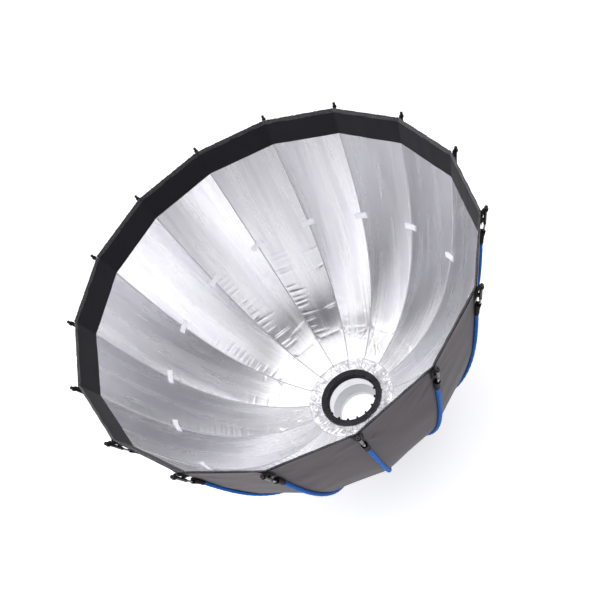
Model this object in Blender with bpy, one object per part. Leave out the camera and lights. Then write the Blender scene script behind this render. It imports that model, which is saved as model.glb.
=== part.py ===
"""Octabox: a deep softbox whose sixteen bent ribs fold like an umbrella onto a bayonet speed ring.

Metres. +Z is the light axis, from the speed ring up to the open mouth. The origin is the centre of
the bayonet sleeve's rear end, on which the part stands. rib_01 lies over +X, and the numbers run
counterclockwise seen from the mouth; panel_01 spans rib_01 and rib_02.
"""

import math

import bmesh
import bpy
import numpy as np
from mathutils import Matrix, Vector

# Canopy: the lining's line along a seam, from the hub to the rim
RIBS = 16
RIM_RADIUS = 0.425
DEPTH = 0.5205
ROOT_RADIUS = 0.071
ROOT_Z = 0.073
ROOT_SLOPE = math.radians(5)
ROOT_REACH = 0.277
RIM_SLOPE = math.radians(73)
RIM_REACH = 0.115
PANEL_START_RADIUS = 0.104
PANEL_THICKNESS = 0.002
PANEL_EDGE_GAP = 0.0003
PANEL_ROWS = 14

# Ribs: sprung wire with a knuckle at the root and a barrel and a ball at the tip
HINGE_RADIUS = 0.081
HINGE_Z = 0.0693
WIRE_RADIUS = 0.002
WIRE_OFFSET = 0.0046
TIP_OFFSET = 0.0107
SPREAD_START = 0.080
SPREAD_END = 0.035
BARREL_RADIUS = 0.003
BARREL_LENGTH = 0.036
BARREL_PAST_RIM = 0.003
BALL_RADIUS = 0.0036
BALL_PAST_RIM = 0.013
ROD_SIDES = 6
KNUCKLE_RADIUS = 0.0034
KNUCKLE_BORE = 0.0018
KNUCKLE_WIDTH = 0.005
WIRE_SINK = 0.7
SHOULDER = 0.0005
BALL_LATITUDES = (-54, -15, 30, 65)

# Tip clips: moulded, sewn to the rim's outer face
CLIP_WIDTH = 0.014
CLIP_LENGTH = 0.032
CLIP_PAST_RIM = 0.001
CLIP_BASE = (0.0024, 0.0040)
FIN_WIDTH = 0.0032
FIN_SETBACK = 0.006
FIN_SINK = 0.001
CLIP_GAP = 0.0003
EYE_RADIUS = 0.0046
EYE_BORE = 0.00235
EYE_START = 0.0036
EYE_LENGTH = 0.0052

# Hub
TURNED_SIDES = 32
SLEEVE_BORE = 0.050
SLEEVE_RADIUS = 0.0535
FLANGE_RADIUS = 0.068
FLANGE_Z = (0.008, 0.012)
LUG_RADIUS = 0.059
LUG_HEIGHT = 0.003
LUGS = 3
LUG_ANGLE = math.radians(40)
TUBE_RADIUS = 0.0595
TUBE_BORE = 0.058
TUBE_TOP = 0.062
TUBE_STEP_Z = (0.014, 0.027)
STEP_BORE = 0.0505
TOUCH_GAP = 0.0003
HOUSING_FOOT_RADIUS = 0.072
FOOT_CHAMFER = 0.002
HOUSING_RADIUS = 0.089
HOUSING_FLARE_Z = (0.040, 0.056)
CHANNEL_RADII = (0.0765, 0.0855)
CHANNEL_FLOOR = 0.0676
OUTER_WALL_TOP = 0.0715
NECK_TOP = 0.0742
NECK_BORE = 0.060
NECK_LEDGE = 0.001
NECK_LEDGE_HEIGHT = 0.003
SLOT_WIDTH = 0.0064
SLOT_FLOOR = 0.0655
CUT_PAST = 0.006
HINGE_WIRE_RADIUS = 0.0013
LATCH_Z = (0.0745, 0.0757)
LATCH_RADII = (0.0612, 0.0735)
FINGER_RADIUS = 0.0577
FINGER_WIDTH = 0.004
FINGER_TAPER = 0.75
FRONT_RING_RADII = (0.0608, 0.0748)
FRONT_RING_Z = (0.076, 0.080)
FRONT_BEVEL = 0.001
GROOVE_SHARE = 0.4
GROOVE_HALF = 0.0006
GROOVE_DEPTH = 0.0008
COLLAR_RADII = (0.0755, 0.1085)
COLLAR_Z = (0.0756, 0.0815)
COLLAR_THICKNESS = 0.0010
COLLAR_RISE_SHARE = 0.4
SCREWS = 4
SCREW_CIRCLE = 0.0645
SCREW_RADIUS = 0.0015
SCREW_HOLE = 0.0018
SCREW_HEAD_RADIUS = 0.0030
SCREW_HEAD_Z = (0.0055, 0.0077)
SCREW_TIP_Z = 0.022

PITCH = 2 * math.pi / RIBS
HALF_PITCH = PITCH / 2


# The seam line: a cubic curve in the plane of one rib, as (radius, height)

CURVE_HANDLES = np.array(
    [
        (ROOT_RADIUS, ROOT_Z),
        (
            ROOT_RADIUS + ROOT_REACH * math.cos(ROOT_SLOPE),
            ROOT_Z + ROOT_REACH * math.sin(ROOT_SLOPE),
        ),
        (
            RIM_RADIUS - RIM_REACH * math.cos(RIM_SLOPE),
            ROOT_Z + DEPTH - RIM_REACH * math.sin(RIM_SLOPE),
        ),
        (RIM_RADIUS, ROOT_Z + DEPTH),
    ]
)


def curve_point(t):
    """The point of the seam line at t, and its unit tangent towards the rim."""
    a, b, c, d = CURVE_HANDLES
    u = 1 - t
    point = u**3 * a + 3 * u * u * t * b + 3 * u * t * t * c + t**3 * d
    tangent = u * u * (b - a) + 2 * u * t * (c - b) + t * t * (d - c)
    return point, tangent / np.linalg.norm(tangent)


FINE = np.linspace(0, 1, 401)
FINE_POINTS = np.array([curve_point(t)[0] for t in FINE])
FINE_STEPS = np.linalg.norm(np.diff(FINE_POINTS, axis=0), axis=1)
FINE_LENGTHS = np.concatenate([[0], np.cumsum(FINE_STEPS)])
SEAM_LENGTH = FINE_LENGTHS[-1]


def from_rim(distance, offset=0.0):
    """(radius, height) of the point that far back from the rim along the seam, and that far outside it.
    A negative distance runs straight on past the rim."""
    t = np.interp(SEAM_LENGTH - max(distance, 0), FINE_LENGTHS, FINE)
    point, tangent = curve_point(t)
    outward = np.array([tangent[1], -tangent[0]])
    return point + tangent * max(-distance, 0) + outward * offset


def distance_at_radius(radius):
    """How far back from the rim the seam reaches that radius."""
    return SEAM_LENGTH - np.interp(radius, FINE_POINTS[:, 0], FINE_LENGTHS)


def panel_rows():
    """The distances from the rim at which the panels and the rods bend."""
    return np.linspace(distance_at_radius(PANEL_START_RADIUS), 0, PANEL_ROWS + 1)


def rod_offset(distance):
    """How far outside the lining the rod's centre lies: close to the canopy, then spread at the tip."""
    share = (SPREAD_START - distance) / (SPREAD_START - SPREAD_END)
    share = min(max(share, 0), 1)
    return WIRE_OFFSET + (TIP_OFFSET - WIRE_OFFSET) * share * share * (3 - 2 * share)


# Building helpers


def clear_scene():
    for obj in list(bpy.data.objects):
        bpy.data.objects.remove(obj, do_unlink=True)


def material(name, colour, roughness, metallic=0.0):
    made = bpy.data.materials.new(name)
    made.use_nodes = True
    shader = made.node_tree.nodes["Principled BSDF"]
    shader.inputs["Base Color"].default_value = (*colour, 1)
    shader.inputs["Roughness"].default_value = roughness
    shader.inputs["Metallic"].default_value = metallic
    return made


def mesh_from(name, points, faces):
    mesh = bpy.data.meshes.new(name)
    mesh.from_pydata([tuple(p) for p in points], [], faces)
    work = bmesh.new()
    work.from_mesh(mesh)
    bmesh.ops.recalc_face_normals(work, faces=work.faces)
    work.to_mesh(mesh)
    work.free()
    return mesh


def add_object(name, mesh, finish=None, location=(0, 0, 0), turn=0.0):
    obj = bpy.data.objects.new(name, mesh)
    bpy.context.scene.collection.objects.link(obj)
    obj.location = location
    obj.rotation_euler = (0, 0, turn)
    if finish and not mesh.materials:
        mesh.materials.append(finish)
    return obj


def smooth(mesh, angle=math.radians(35)):
    mesh.shade_smooth()
    mesh.set_sharp_from_angle(angle=angle)


def combined(name, body, others, operation):
    """The mesh of body joined with, or cut by, the other meshes."""
    base = add_object(name + "_body", body)
    tools = [add_object(name + "_tool", other) for other in others]
    for tool in tools:
        step = base.modifiers.new("Combine", "BOOLEAN")
        step.operation = operation
        step.solver = "EXACT"
        step.object = tool
    bpy.context.view_layer.update()
    graph = bpy.context.evaluated_depsgraph_get()
    mesh = bpy.data.meshes.new_from_object(base.evaluated_get(graph))
    mesh.name = name
    for helper in [base, *tools]:
        bpy.data.objects.remove(helper, do_unlink=True)
    return mesh


def turned(name, outline, sides=TURNED_SIDES):
    """A closed (radius, height) outline turned round the Z axis."""
    points = []
    faces = []
    count = len(outline)
    for k in range(sides):
        angle = 2 * math.pi * k / sides
        points += [(r * math.cos(angle), r * math.sin(angle), z) for r, z in outline]
        for j in range(count):
            here = k * count + j
            above = k * count + (j + 1) % count
            there = (k + 1) % sides * count + j
            there_above = (k + 1) % sides * count + (j + 1) % count
            faces.append((here, there, there_above, above))
    return mesh_from(name, points, faces)


def tube_along(name, path, radii, sides):
    """A closed round bar in the X-Z plane, through the (x, z) points of path, with a radius at each."""
    path = np.array(path)
    tangents = np.gradient(path, axis=0)
    tangents /= np.linalg.norm(tangents, axis=1)[:, None]
    points = []
    faces = []
    for (x, z), (tx, tz), radius in zip(path, tangents, radii):
        for k in range(sides):
            angle = 2 * math.pi * (k + 0.5) / sides
            out = radius * math.cos(angle)
            points.append((x + tz * out, radius * math.sin(angle), z - tx * out))
    rows = len(path)
    for row in range(rows - 1):
        for k in range(sides):
            a = row * sides + k
            b = row * sides + (k + 1) % sides
            faces.append((a, b, b + sides, a + sides))
    faces.append(tuple(range(sides)))
    faces.append(tuple((rows - 1) * sides + k for k in range(sides)))
    return mesh_from(name, points, faces)


def slab(name, outline, width):
    """An outline of (x, z) points in the rib's plane, given that width across it."""
    count = len(outline)
    points = [(x, side * width / 2, z) for side in (-1, 1) for x, z in outline]
    faces = [tuple(range(count)), tuple(range(count, 2 * count))]
    for j in range(count):
        k = (j + 1) % count
        faces.append((j, k, k + count, j + count))
    return mesh_from(name, points, faces)


def cylinder(name, radius, start, end, sides=8):
    """A round bar from the point start to the point end."""
    start = Vector(start)
    end = Vector(end)
    work = bmesh.new()
    bmesh.ops.create_cone(
        work,
        cap_ends=True,
        segments=sides,
        radius1=radius,
        radius2=radius,
        depth=(end - start).length,
        matrix=Matrix.Translation((start + end) / 2)
        @ (end - start).to_track_quat("Z", "Y").to_matrix().to_4x4(),
    )
    mesh = bpy.data.meshes.new(name)
    work.to_mesh(mesh)
    work.free()
    return mesh


def moved(mesh, offset):
    mesh.transform(Matrix.Translation(offset))
    return mesh


# Ribs and tip clips, modelled over +X and then turned to their places


def hinge_place(azimuth):
    return (
        HINGE_RADIUS * math.cos(azimuth),
        HINGE_RADIUS * math.sin(azimuth),
        HINGE_Z,
    )


def rod_point(distance):
    return from_rim(distance, rod_offset(distance))


def rib_mesh():
    """The wire, its knuckle, the crimped barrel and the ball, as one piece."""
    wire = [distance_at_radius(HINGE_RADIUS + WIRE_SINK * KNUCKLE_RADIUS)]
    wire += [distance for distance in panel_rows() if distance > SPREAD_START]
    wire += [SPREAD_START, (SPREAD_START + SPREAD_END) / 2]
    barrel_end = BARREL_LENGTH - BARREL_PAST_RIM
    rows = [(distance, WIRE_RADIUS) for distance in wire]
    rows += [
        (barrel_end + SHOULDER, WIRE_RADIUS),
        (barrel_end, BARREL_RADIUS),
        (-BARREL_PAST_RIM, BARREL_RADIUS),
        (-BARREL_PAST_RIM - CLIP_GAP, WIRE_RADIUS),
    ]
    for latitude in BALL_LATITUDES:
        angle = math.radians(latitude)
        reach = -BALL_PAST_RIM - BALL_RADIUS * math.sin(angle)
        rows.append((reach, BALL_RADIUS * math.cos(angle)))
    path = [rod_point(distance) for distance, _ in rows]
    radii = [radius for _, radius in rows]
    wire_mesh = tube_along("wire", path, radii, ROD_SIDES)
    half = KNUCKLE_WIDTH / 2
    centre = Vector((HINGE_RADIUS, 0, HINGE_Z))
    side = Vector((0, half, 0))
    knuckle = cylinder("knuckle", KNUCKLE_RADIUS, centre - side, centre + side)
    joined = combined("rib_joined", wire_mesh, [knuckle], "UNION")
    bore = cylinder("bore", KNUCKLE_BORE, centre - 2 * side, centre + 2 * side)
    return combined("rib", joined, [bore], "DIFFERENCE")


def tip_clip_mesh():
    """A base plate sewn to the rim, a fin, and an eye that the rod's neck passes through."""
    inner, outer = CLIP_BASE
    lengths = [CLIP_LENGTH, CLIP_LENGTH / 2, -CLIP_PAST_RIM]
    base = [from_rim(d, inner) for d in lengths]
    base += [from_rim(d, outer) for d in reversed(lengths)]
    plate = slab("plate", base, CLIP_WIDTH)
    reach = TIP_OFFSET - BARREL_RADIUS - CLIP_GAP
    eye_end = EYE_START + EYE_LENGTH
    low = CLIP_LENGTH - FIN_SETBACK
    root = (inner + outer) / 2
    fin_outline = [from_rim(low, root), from_rim(low / 2, root), from_rim(0, root)]
    fin_outline += [
        from_rim(-eye_end, root + 2 * FIN_SINK),
        from_rim(-eye_end, TIP_OFFSET - EYE_BORE - FIN_SINK),
        from_rim(-EYE_START, TIP_OFFSET - EYE_BORE - FIN_SINK),
        from_rim(-EYE_START, reach),
        from_rim(low / 3, reach),
        from_rim(low - FIN_SETBACK, outer + FIN_SINK),
    ]
    fin = slab("fin", fin_outline, FIN_WIDTH)
    ends = [from_rim(-d, TIP_OFFSET) for d in (EYE_START, eye_end)]
    low_end, high_end = [Vector((x, 0, z)) for x, z in ends]
    eye = cylinder("eye", EYE_RADIUS, low_end, high_end)
    joined = combined("clip_joined", plate, [fin, eye], "UNION")
    along = (high_end - low_end).normalized() * CUT_PAST
    bore = cylinder("eye_bore", EYE_BORE, low_end - along, high_end + along)
    return combined("tip_clip", joined, [bore], "DIFFERENCE")


def add_ribs(steel, plastic):
    to_hinge = (-HINGE_RADIUS, 0, -HINGE_Z)
    rib = moved(rib_mesh(), to_hinge)
    clip = moved(tip_clip_mesh(), to_hinge)
    smooth(rib)
    smooth(clip)
    for k in range(RIBS):
        azimuth = k * PITCH
        place = hinge_place(azimuth)
        add_object(f"rib_{k + 1:02d}", rib, steel, place, azimuth)
        add_object(f"tip_clip_{k + 1:02d}", clip, plastic, place, azimuth)


# Canopy panels: each turns with its own rib, and about an axis that carries its far edge with the next


def panel_pivot():
    """Where a panel's axis starts: the hinge line of its rib, halfway to the next rib."""
    return Vector((HINGE_RADIUS, HINGE_RADIUS * math.tan(HALF_PITCH), HINGE_Z))


def panel_mesh():
    """One flat-across gore between two ribs, bent along its length as they are."""
    points = []
    for distance in panel_rows():
        radius, height = from_rim(distance)
        step = from_rim(distance - 0.001) - from_rim(distance + 0.001)
        normal = np.array([step[1], -math.cos(HALF_PITCH) * step[0]])
        normal *= PANEL_THICKNESS / np.linalg.norm(normal)
        flat = radius * math.cos(HALF_PITCH)
        half = radius * math.sin(HALF_PITCH) - PANEL_EDGE_GAP
        points += [(flat, -half, height), (flat, half, height)]
        points += [(flat + normal[0], side * half, height + normal[1]) for side in (1, -1)]
    faces = [(0, 1, 2, 3)]
    for row in range(PANEL_ROWS):
        for j in range(4):
            k = (j + 1) % 4
            faces.append((4 * row + j, 4 * row + k, 4 * row + k + 4, 4 * row + j + 4))
    last = 4 * PANEL_ROWS
    faces.append((last, last + 1, last + 2, last + 3))
    return mesh_from("panel", points, faces)


def add_panels(fabric):
    panel = panel_mesh()
    panel.transform(Matrix.Rotation(HALF_PITCH, 4, "Z"))
    pivot = panel_pivot()
    panel = moved(panel, -pivot)
    for k in range(RIBS):
        azimuth = k * PITCH
        place = Matrix.Rotation(azimuth, 3, "Z") @ pivot
        add_object(f"panel_{k + 1:02d}", panel, fabric, place, azimuth)


# Hub


def add_bayonet_ring(aluminium):
    low, high = FLANGE_Z
    outline = [
        (SLEEVE_BORE, 0),
        (SLEEVE_RADIUS, 0),
        (SLEEVE_RADIUS, low),
        (FLANGE_RADIUS, low),
        (FLANGE_RADIUS, high),
        (SLEEVE_BORE, high),
    ]
    ring = turned("bayonet", outline)
    lugs = []
    for k in range(LUGS):
        middle = 2 * math.pi * k / LUGS
        points = []
        steps = 6
        for radius in ((SLEEVE_BORE + SLEEVE_RADIUS) / 2, LUG_RADIUS):
            for j in range(steps + 1):
                angle = middle + LUG_ANGLE * (j / steps - 0.5)
                points.append((radius * math.cos(angle), radius * math.sin(angle)))
        outline = points[: steps + 1] + points[: steps : -1]
        count = len(outline)
        corners = [(x, y, z) for z in (0, LUG_HEIGHT) for x, y in outline]
        faces = [tuple(range(count)), tuple(range(count, 2 * count))]
        faces += [(j, (j + 1) % count, (j + 1) % count + count, j + count) for j in range(count)]
        lugs.append(mesh_from("lug", corners, faces))
    joined = combined("bayonet_joined", ring, lugs, "UNION")
    mesh = combined("bayonet_ring", joined, screw_holes(), "DIFFERENCE")
    smooth(mesh)
    add_object("bayonet_ring", mesh, aluminium)


def screw_places():
    angles = [2 * math.pi * (k + 0.5) / SCREWS for k in range(SCREWS)]
    return [(SCREW_CIRCLE * math.cos(a), SCREW_CIRCLE * math.sin(a)) for a in angles]


def screw_holes():
    top = SCREW_TIP_Z + TOUCH_GAP
    return [
        cylinder("screw_hole", SCREW_HOLE, (x, y, -TOUCH_GAP), (x, y, top))
        for x, y in screw_places()
    ]


def add_inner_tube(white_plastic):
    bottom = FLANGE_Z[1] + TOUCH_GAP
    outline = [
        (TUBE_RADIUS, bottom),
        (TUBE_RADIUS, TUBE_TOP),
        (TUBE_BORE, TUBE_TOP),
        (TUBE_BORE, TUBE_STEP_Z[1]),
        (STEP_BORE, TUBE_STEP_Z[0]),
        (STEP_BORE, bottom),
    ]
    mesh = turned("inner_tube", outline)
    smooth(mesh)
    add_object("inner_tube", mesh, white_plastic)


def add_hub_housing(black_plastic):
    bottom = FLANGE_Z[1] + TOUCH_GAP
    bore = TUBE_RADIUS + TOUCH_GAP
    lip = TUBE_TOP + TOUCH_GAP
    foot = HOUSING_FOOT_RADIUS - FOOT_CHAMFER
    channel_in, channel_out = CHANNEL_RADII
    outline = [
        (bore, bottom),
        (foot, bottom),
        (HOUSING_FOOT_RADIUS, bottom + FOOT_CHAMFER),
        (HOUSING_FOOT_RADIUS, HOUSING_FLARE_Z[0]),
        (HOUSING_RADIUS, HOUSING_FLARE_Z[1]),
        (HOUSING_RADIUS, OUTER_WALL_TOP),
        (channel_out, OUTER_WALL_TOP),
        (channel_out, CHANNEL_FLOOR),
        (channel_in, CHANNEL_FLOOR),
        (channel_in, NECK_TOP),
        (NECK_BORE, NECK_TOP),
        (NECK_BORE, lip + NECK_LEDGE_HEIGHT + NECK_LEDGE),
        (NECK_BORE - NECK_LEDGE, lip + NECK_LEDGE_HEIGHT),
        (NECK_BORE - NECK_LEDGE, lip),
        (bore, lip),
    ]
    body = turned("housing", outline)
    slots = []
    for k in range(RIBS):
        low = channel_in + TOUCH_GAP
        high = HOUSING_RADIUS + CUT_PAST
        over = NECK_TOP + CUT_PAST
        outline = [(low, SLOT_FLOOR), (high, SLOT_FLOOR), (high, over), (low, over)]
        slot = slab("slot", outline, SLOT_WIDTH)
        slot.transform(Matrix.Rotation(k * PITCH, 4, "Z"))
        slots.append(slot)
    mesh = combined("hub_housing", body, slots + screw_holes(), "DIFFERENCE")
    smooth(mesh)
    add_object("hub_housing", mesh, black_plastic)


def add_hinge_wire(steel):
    """One ring of wire that all the knuckles turn on."""
    section = 6
    outline = []
    for k in range(section):
        angle = 2 * math.pi * (k + 0.5) / section
        r = HINGE_RADIUS + HINGE_WIRE_RADIUS * math.cos(angle)
        outline.append((r, HINGE_Z + HINGE_WIRE_RADIUS * math.sin(angle)))
    mesh = turned("hinge_wire", outline)
    smooth(mesh, math.radians(80))
    add_object("hinge_wire", mesh, steel)


def add_latch_ring(black_plastic):
    """A stamped plate whose fingers reach into the bore, one for each rib."""
    low, high = LATCH_Z
    inner, outer = LATCH_RADII
    finger_half = math.asin(FINGER_WIDTH / 2 / inner)
    outline = []
    for k in range(RIBS):
        middle = (k + 0.5) * PITCH
        tip_half = FINGER_TAPER * finger_half
        outline += [
            (inner, middle - PITCH / 2),
            (inner, middle - finger_half),
            (FINGER_RADIUS, middle - tip_half),
            (FINGER_RADIUS, middle + tip_half),
            (inner, middle + finger_half),
        ]
    points = []
    for z in (low, high):
        points += [(r * math.cos(a), r * math.sin(a), z) for r, a in outline]
        points += [(outer * math.cos(a), outer * math.sin(a), z) for _, a in outline]
    count = len(outline)
    faces = []
    for j in range(count):
        k = (j + 1) % count
        for level in (0, 2 * count):
            faces.append((level + j, level + k, level + count + k, level + count + j))
        for ring in (0, count):
            faces.append((ring + j, ring + k, ring + k + 2 * count, ring + j + 2 * count))
    mesh = mesh_from("latch_ring", points, faces)
    add_object("latch_ring", mesh, black_plastic)


def add_front_ring(black_plastic):
    """The cover that clamps the latch ring and the collar: its front face has one turned groove."""
    low, high = FRONT_RING_Z
    inner, outer = FRONT_RING_RADII
    groove = inner + GROOVE_SHARE * (outer - inner)
    outline = [
        (inner, low),
        (outer, low),
        (outer, high - FRONT_BEVEL),
        (outer - FRONT_BEVEL, high),
        (groove + GROOVE_HALF, high),
        (groove, high - GROOVE_DEPTH),
        (groove - GROOVE_HALF, high),
        (inner + FRONT_BEVEL, high),
        (inner, high - FRONT_BEVEL),
    ]
    mesh = turned("front_ring", outline)
    smooth(mesh)
    add_object("front_ring", mesh, black_plastic)


def add_throat_collar(silver_cloth):
    """The gathered lining between the front ring and the panels' lower ends."""
    inner, outer = COLLAR_RADII
    low, high = COLLAR_Z
    middle = (inner + outer) / 2
    middle_z = low + COLLAR_RISE_SHARE * (high - low)
    outline = [
        (inner, low),
        (middle, middle_z),
        (outer, high),
        (outer, high + COLLAR_THICKNESS),
        (middle, middle_z + COLLAR_THICKNESS),
        (inner, low + COLLAR_THICKNESS),
    ]
    mesh = turned("throat_collar", outline)
    add_object("throat_collar", mesh, silver_cloth)


def add_screws(steel):
    head_low, head_high = SCREW_HEAD_Z
    for k, (x, y) in enumerate(screw_places()):
        head = cylinder("head", SCREW_HEAD_RADIUS, (0, 0, head_low), (0, 0, head_high), 12)
        shank = cylinder("shank", SCREW_RADIUS, (0, 0, (head_low + head_high) / 2), (0, 0, SCREW_TIP_Z))
        mesh = combined("hub_screw", head, [shank], "UNION")
        smooth(mesh)
        add_object(f"hub_screw_{k + 1}", mesh, steel, (x, y, 0))


def build():
    clear_scene()
    spring_steel = material("spring_steel", (0.55, 0.56, 0.57), 0.3, 1.0)
    black_plastic = material("black_plastic", (0.02, 0.02, 0.022), 0.45)
    canopy_cloth = material("canopy_cloth", (0.09, 0.085, 0.09), 0.6)
    silver_cloth = material("silver_cloth", (0.8, 0.8, 0.82), 0.3, 0.8)
    aluminium = material("aluminium", (0.75, 0.76, 0.77), 0.35, 1.0)
    white_plastic = material("white_plastic", (0.8, 0.8, 0.8), 0.4)
    zinc_steel = material("zinc_steel", (0.6, 0.6, 0.62), 0.3, 1.0)
    add_bayonet_ring(aluminium)
    add_inner_tube(white_plastic)
    add_hub_housing(black_plastic)
    add_hinge_wire(spring_steel)
    add_latch_ring(black_plastic)
    add_front_ring(black_plastic)
    add_throat_collar(silver_cloth)
    add_screws(zinc_steel)
    add_ribs(spring_steel, black_plastic)
    add_panels(canopy_cloth)


build()
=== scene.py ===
import math

import bmesh
import bpy
import numpy as np
from mathutils import Matrix, Vector


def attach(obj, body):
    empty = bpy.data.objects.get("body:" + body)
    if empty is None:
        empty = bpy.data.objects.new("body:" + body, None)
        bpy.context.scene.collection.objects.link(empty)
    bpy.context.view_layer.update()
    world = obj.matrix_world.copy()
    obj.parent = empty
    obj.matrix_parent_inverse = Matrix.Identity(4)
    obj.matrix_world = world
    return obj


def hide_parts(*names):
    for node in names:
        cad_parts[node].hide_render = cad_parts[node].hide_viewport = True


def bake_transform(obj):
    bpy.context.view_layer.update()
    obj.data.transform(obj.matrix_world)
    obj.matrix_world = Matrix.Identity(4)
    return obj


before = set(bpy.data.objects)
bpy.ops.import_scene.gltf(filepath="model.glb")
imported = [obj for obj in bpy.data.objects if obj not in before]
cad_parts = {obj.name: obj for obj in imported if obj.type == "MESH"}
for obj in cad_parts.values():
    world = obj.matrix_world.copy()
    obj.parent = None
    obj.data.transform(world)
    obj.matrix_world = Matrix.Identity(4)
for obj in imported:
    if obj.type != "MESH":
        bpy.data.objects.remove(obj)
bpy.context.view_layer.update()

bpy.ops.object.select_all(action="DESELECT")


# Studio. A white floor runs out to a white surround, one big soft light hangs over the mouth and
# two stand at the sides. The side that the camera works from is left darker, so that the silver
# lining has something to reflect.


def linear(hex_colour, alpha=1.0):
    """An sRGB hex value as the linear colour that Blender's sockets take."""
    parts = [int(hex_colour[i : i + 2], 16) / 255 for i in (1, 3, 5)]
    return (*[c / 12.92 if c <= 0.04045 else ((c + 0.055) / 1.055) ** 2.4 for c in parts], alpha)


def add_node(tree, kind, links=(), **settings):
    """Adds a node. links are (output, input) pairs; settings are properties, or inputs as in_NAME."""
    node = tree.nodes.new("ShaderNode" + kind)
    for name, value in settings.items():
        if name.startswith("in_"):
            key = name[3:]
            node.inputs[int(key) if key.isdigit() else key.replace("_", " ")].default_value = value
        else:
            setattr(node, name, value)
    for output, name in links:
        tree.links.new(output, node.inputs[name])
    return node


def new_finish(name, **inputs):
    """A new material, its node tree and its shader. inputs are the shader's, with _ for a space."""
    finish = bpy.data.materials.new(name)
    finish.use_nodes = True
    shader = finish.node_tree.nodes["Principled BSDF"]
    for key, value in inputs.items():
        shader.inputs[key.replace("_", " ")].default_value = value
    return finish, finish.node_tree, shader


scene = bpy.context.scene
scene.view_settings.view_transform = "Standard"

camera_data = bpy.data.cameras.new("camera")
camera_data.sensor_width = 36
camera_data.lens = 52.9
camera_data.clip_end = 60
camera = bpy.data.objects.new("camera", camera_data)
scene.collection.objects.link(camera)
camera_place = Vector((0.0789, -1.2045, 1.8134))
camera_aim = Vector((0.0188, 0.1954, 0.2491))
camera_roll = math.radians(-33.75)
camera.matrix_world = (
    Matrix.Translation(camera_place)
    @ (camera_aim - camera_place).to_track_quat("-Z", "Y").to_matrix().to_4x4()
    @ Matrix.Rotation(camera_roll, 4, "Z")
)
scene.camera = camera

bpy.ops.mesh.primitive_grid_add(x_subdivisions=8, y_subdivisions=8, size=24)
floor = bpy.context.object
floor.name = "floor"
floor_paint = new_finish(
    "floor_paint", Base_Color=linear("#f7f7f8"), Roughness=0.9, Specular_IOR_Level=0.1,
    Emission_Color=(1, 1, 1, 1), Emission_Strength=0.5,
)[0]
floor.data.materials.append(floor_paint)

world = bpy.data.worlds.new("studio")
world.use_nodes = True
scene.world = world
sky = world.node_tree
direction = add_node(sky, "TexCoord").outputs["Generated"]
toward_camera = add_node(
    sky, "VectorMath", [(direction, 0)], operation="DOT_PRODUCT", in_1=(-0.25, -0.59, 0.77)
)
shade = add_node(sky, "ValToRGB", [(toward_camera.outputs["Value"], "Fac")])
shade.color_ramp.interpolation = "EASE"
shade.color_ramp.elements[0].position = 0.35
shade.color_ramp.elements[0].color = (1.0, 1.0, 1.0, 1)
shade.color_ramp.elements[1].position = 0.97
shade.color_ramp.elements[1].color = (0.1, 0.1, 0.12, 1)
sky.links.new(shade.outputs["Color"], sky.nodes["Background"].inputs["Color"])
sky.nodes["Background"].inputs["Strength"].default_value = 0.8


def add_soft_light(name, place, aim, size, power):
    data = bpy.data.lights.new(name, "AREA")
    data.shape = "RECTANGLE"
    data.size, data.size_y = size
    data.energy = power
    light = bpy.data.objects.new(name, data)
    scene.collection.objects.link(light)
    light.location = place
    light.rotation_euler = (Vector(aim) - Vector(place)).to_track_quat("-Z", "Y").to_euler()


add_soft_light("overhead", (0.1, 0.15, 3.4), (0, 0, 0.3), (4.0, 3.2), 50)
add_soft_light("left", (-2.7, 0.25, 2.0), (0, 0, 0.4), (4.4, 2.2), 62)
add_soft_light("right", (2.3, 0.1, 2.7), (0, 0, 0.4), (2.6, 1.8), 14)


# Canopy lining. Sixteen gores of nylon cloth with a silver coating, cut as long tapering
# pieces and sewn edge to edge along the ribs. The cloth is stretched between the bent ribs,
# so each gore is nearly straight across, sags a little inward, and puckers at its seams.

ribs = 16
pitch = 2 * math.pi / ribs
half_pitch = pitch / 2
root_radius, root_height = 0.071, 0.073
rim_radius, rim_height = 0.425, 0.5935
root_slope, root_reach = math.radians(5), 0.277
rim_slope, rim_reach = math.radians(73), 0.115
seam_handles = np.array(
    [
        (root_radius, root_height),
        (
            root_radius + root_reach * math.cos(root_slope),
            root_height + root_reach * math.sin(root_slope),
        ),
        (
            rim_radius - rim_reach * math.cos(rim_slope),
            rim_height - rim_reach * math.sin(rim_slope),
        ),
        (rim_radius, rim_height),
    ]
)
curve_share = np.linspace(0, 1, 801)[:, None]
rest_share = 1 - curve_share
seam_line = (
    rest_share**3 * seam_handles[0]
    + 3 * rest_share**2 * curve_share * seam_handles[1]
    + 3 * rest_share * curve_share**2 * seam_handles[2]
    + curve_share**3 * seam_handles[3]
)
seam_steps = np.linalg.norm(np.diff(seam_line, axis=0), axis=1)
seam_run = np.concatenate([[0], np.cumsum(seam_steps)])
seam_distance = seam_run[-1] - seam_run
seam_tangent = np.gradient(seam_line, axis=0)
seam_tangent /= np.linalg.norm(seam_tangent, axis=1)[:, None]


def on_seam(distance):
    """Radius, height and the outward normal's two parts, that far back from the rim along a seam.
    A negative distance runs straight on past the rim."""
    distance = np.asarray(distance, float)
    inside = np.maximum(distance, 0)
    columns = [
        np.interp(-inside, -seam_distance, column)
        for column in (*seam_line.T, *seam_tangent.T)
    ]
    radius, height, along_radius, along_height = columns
    past = np.maximum(-distance, 0)
    return (
        radius + along_radius * past,
        height + along_height * past,
        along_height,
        -along_radius,
    )


def distance_at(radius):
    """How far back from the rim a seam reaches that radius."""
    return float(np.interp(radius, seam_line[:, 0], seam_distance))


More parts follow.
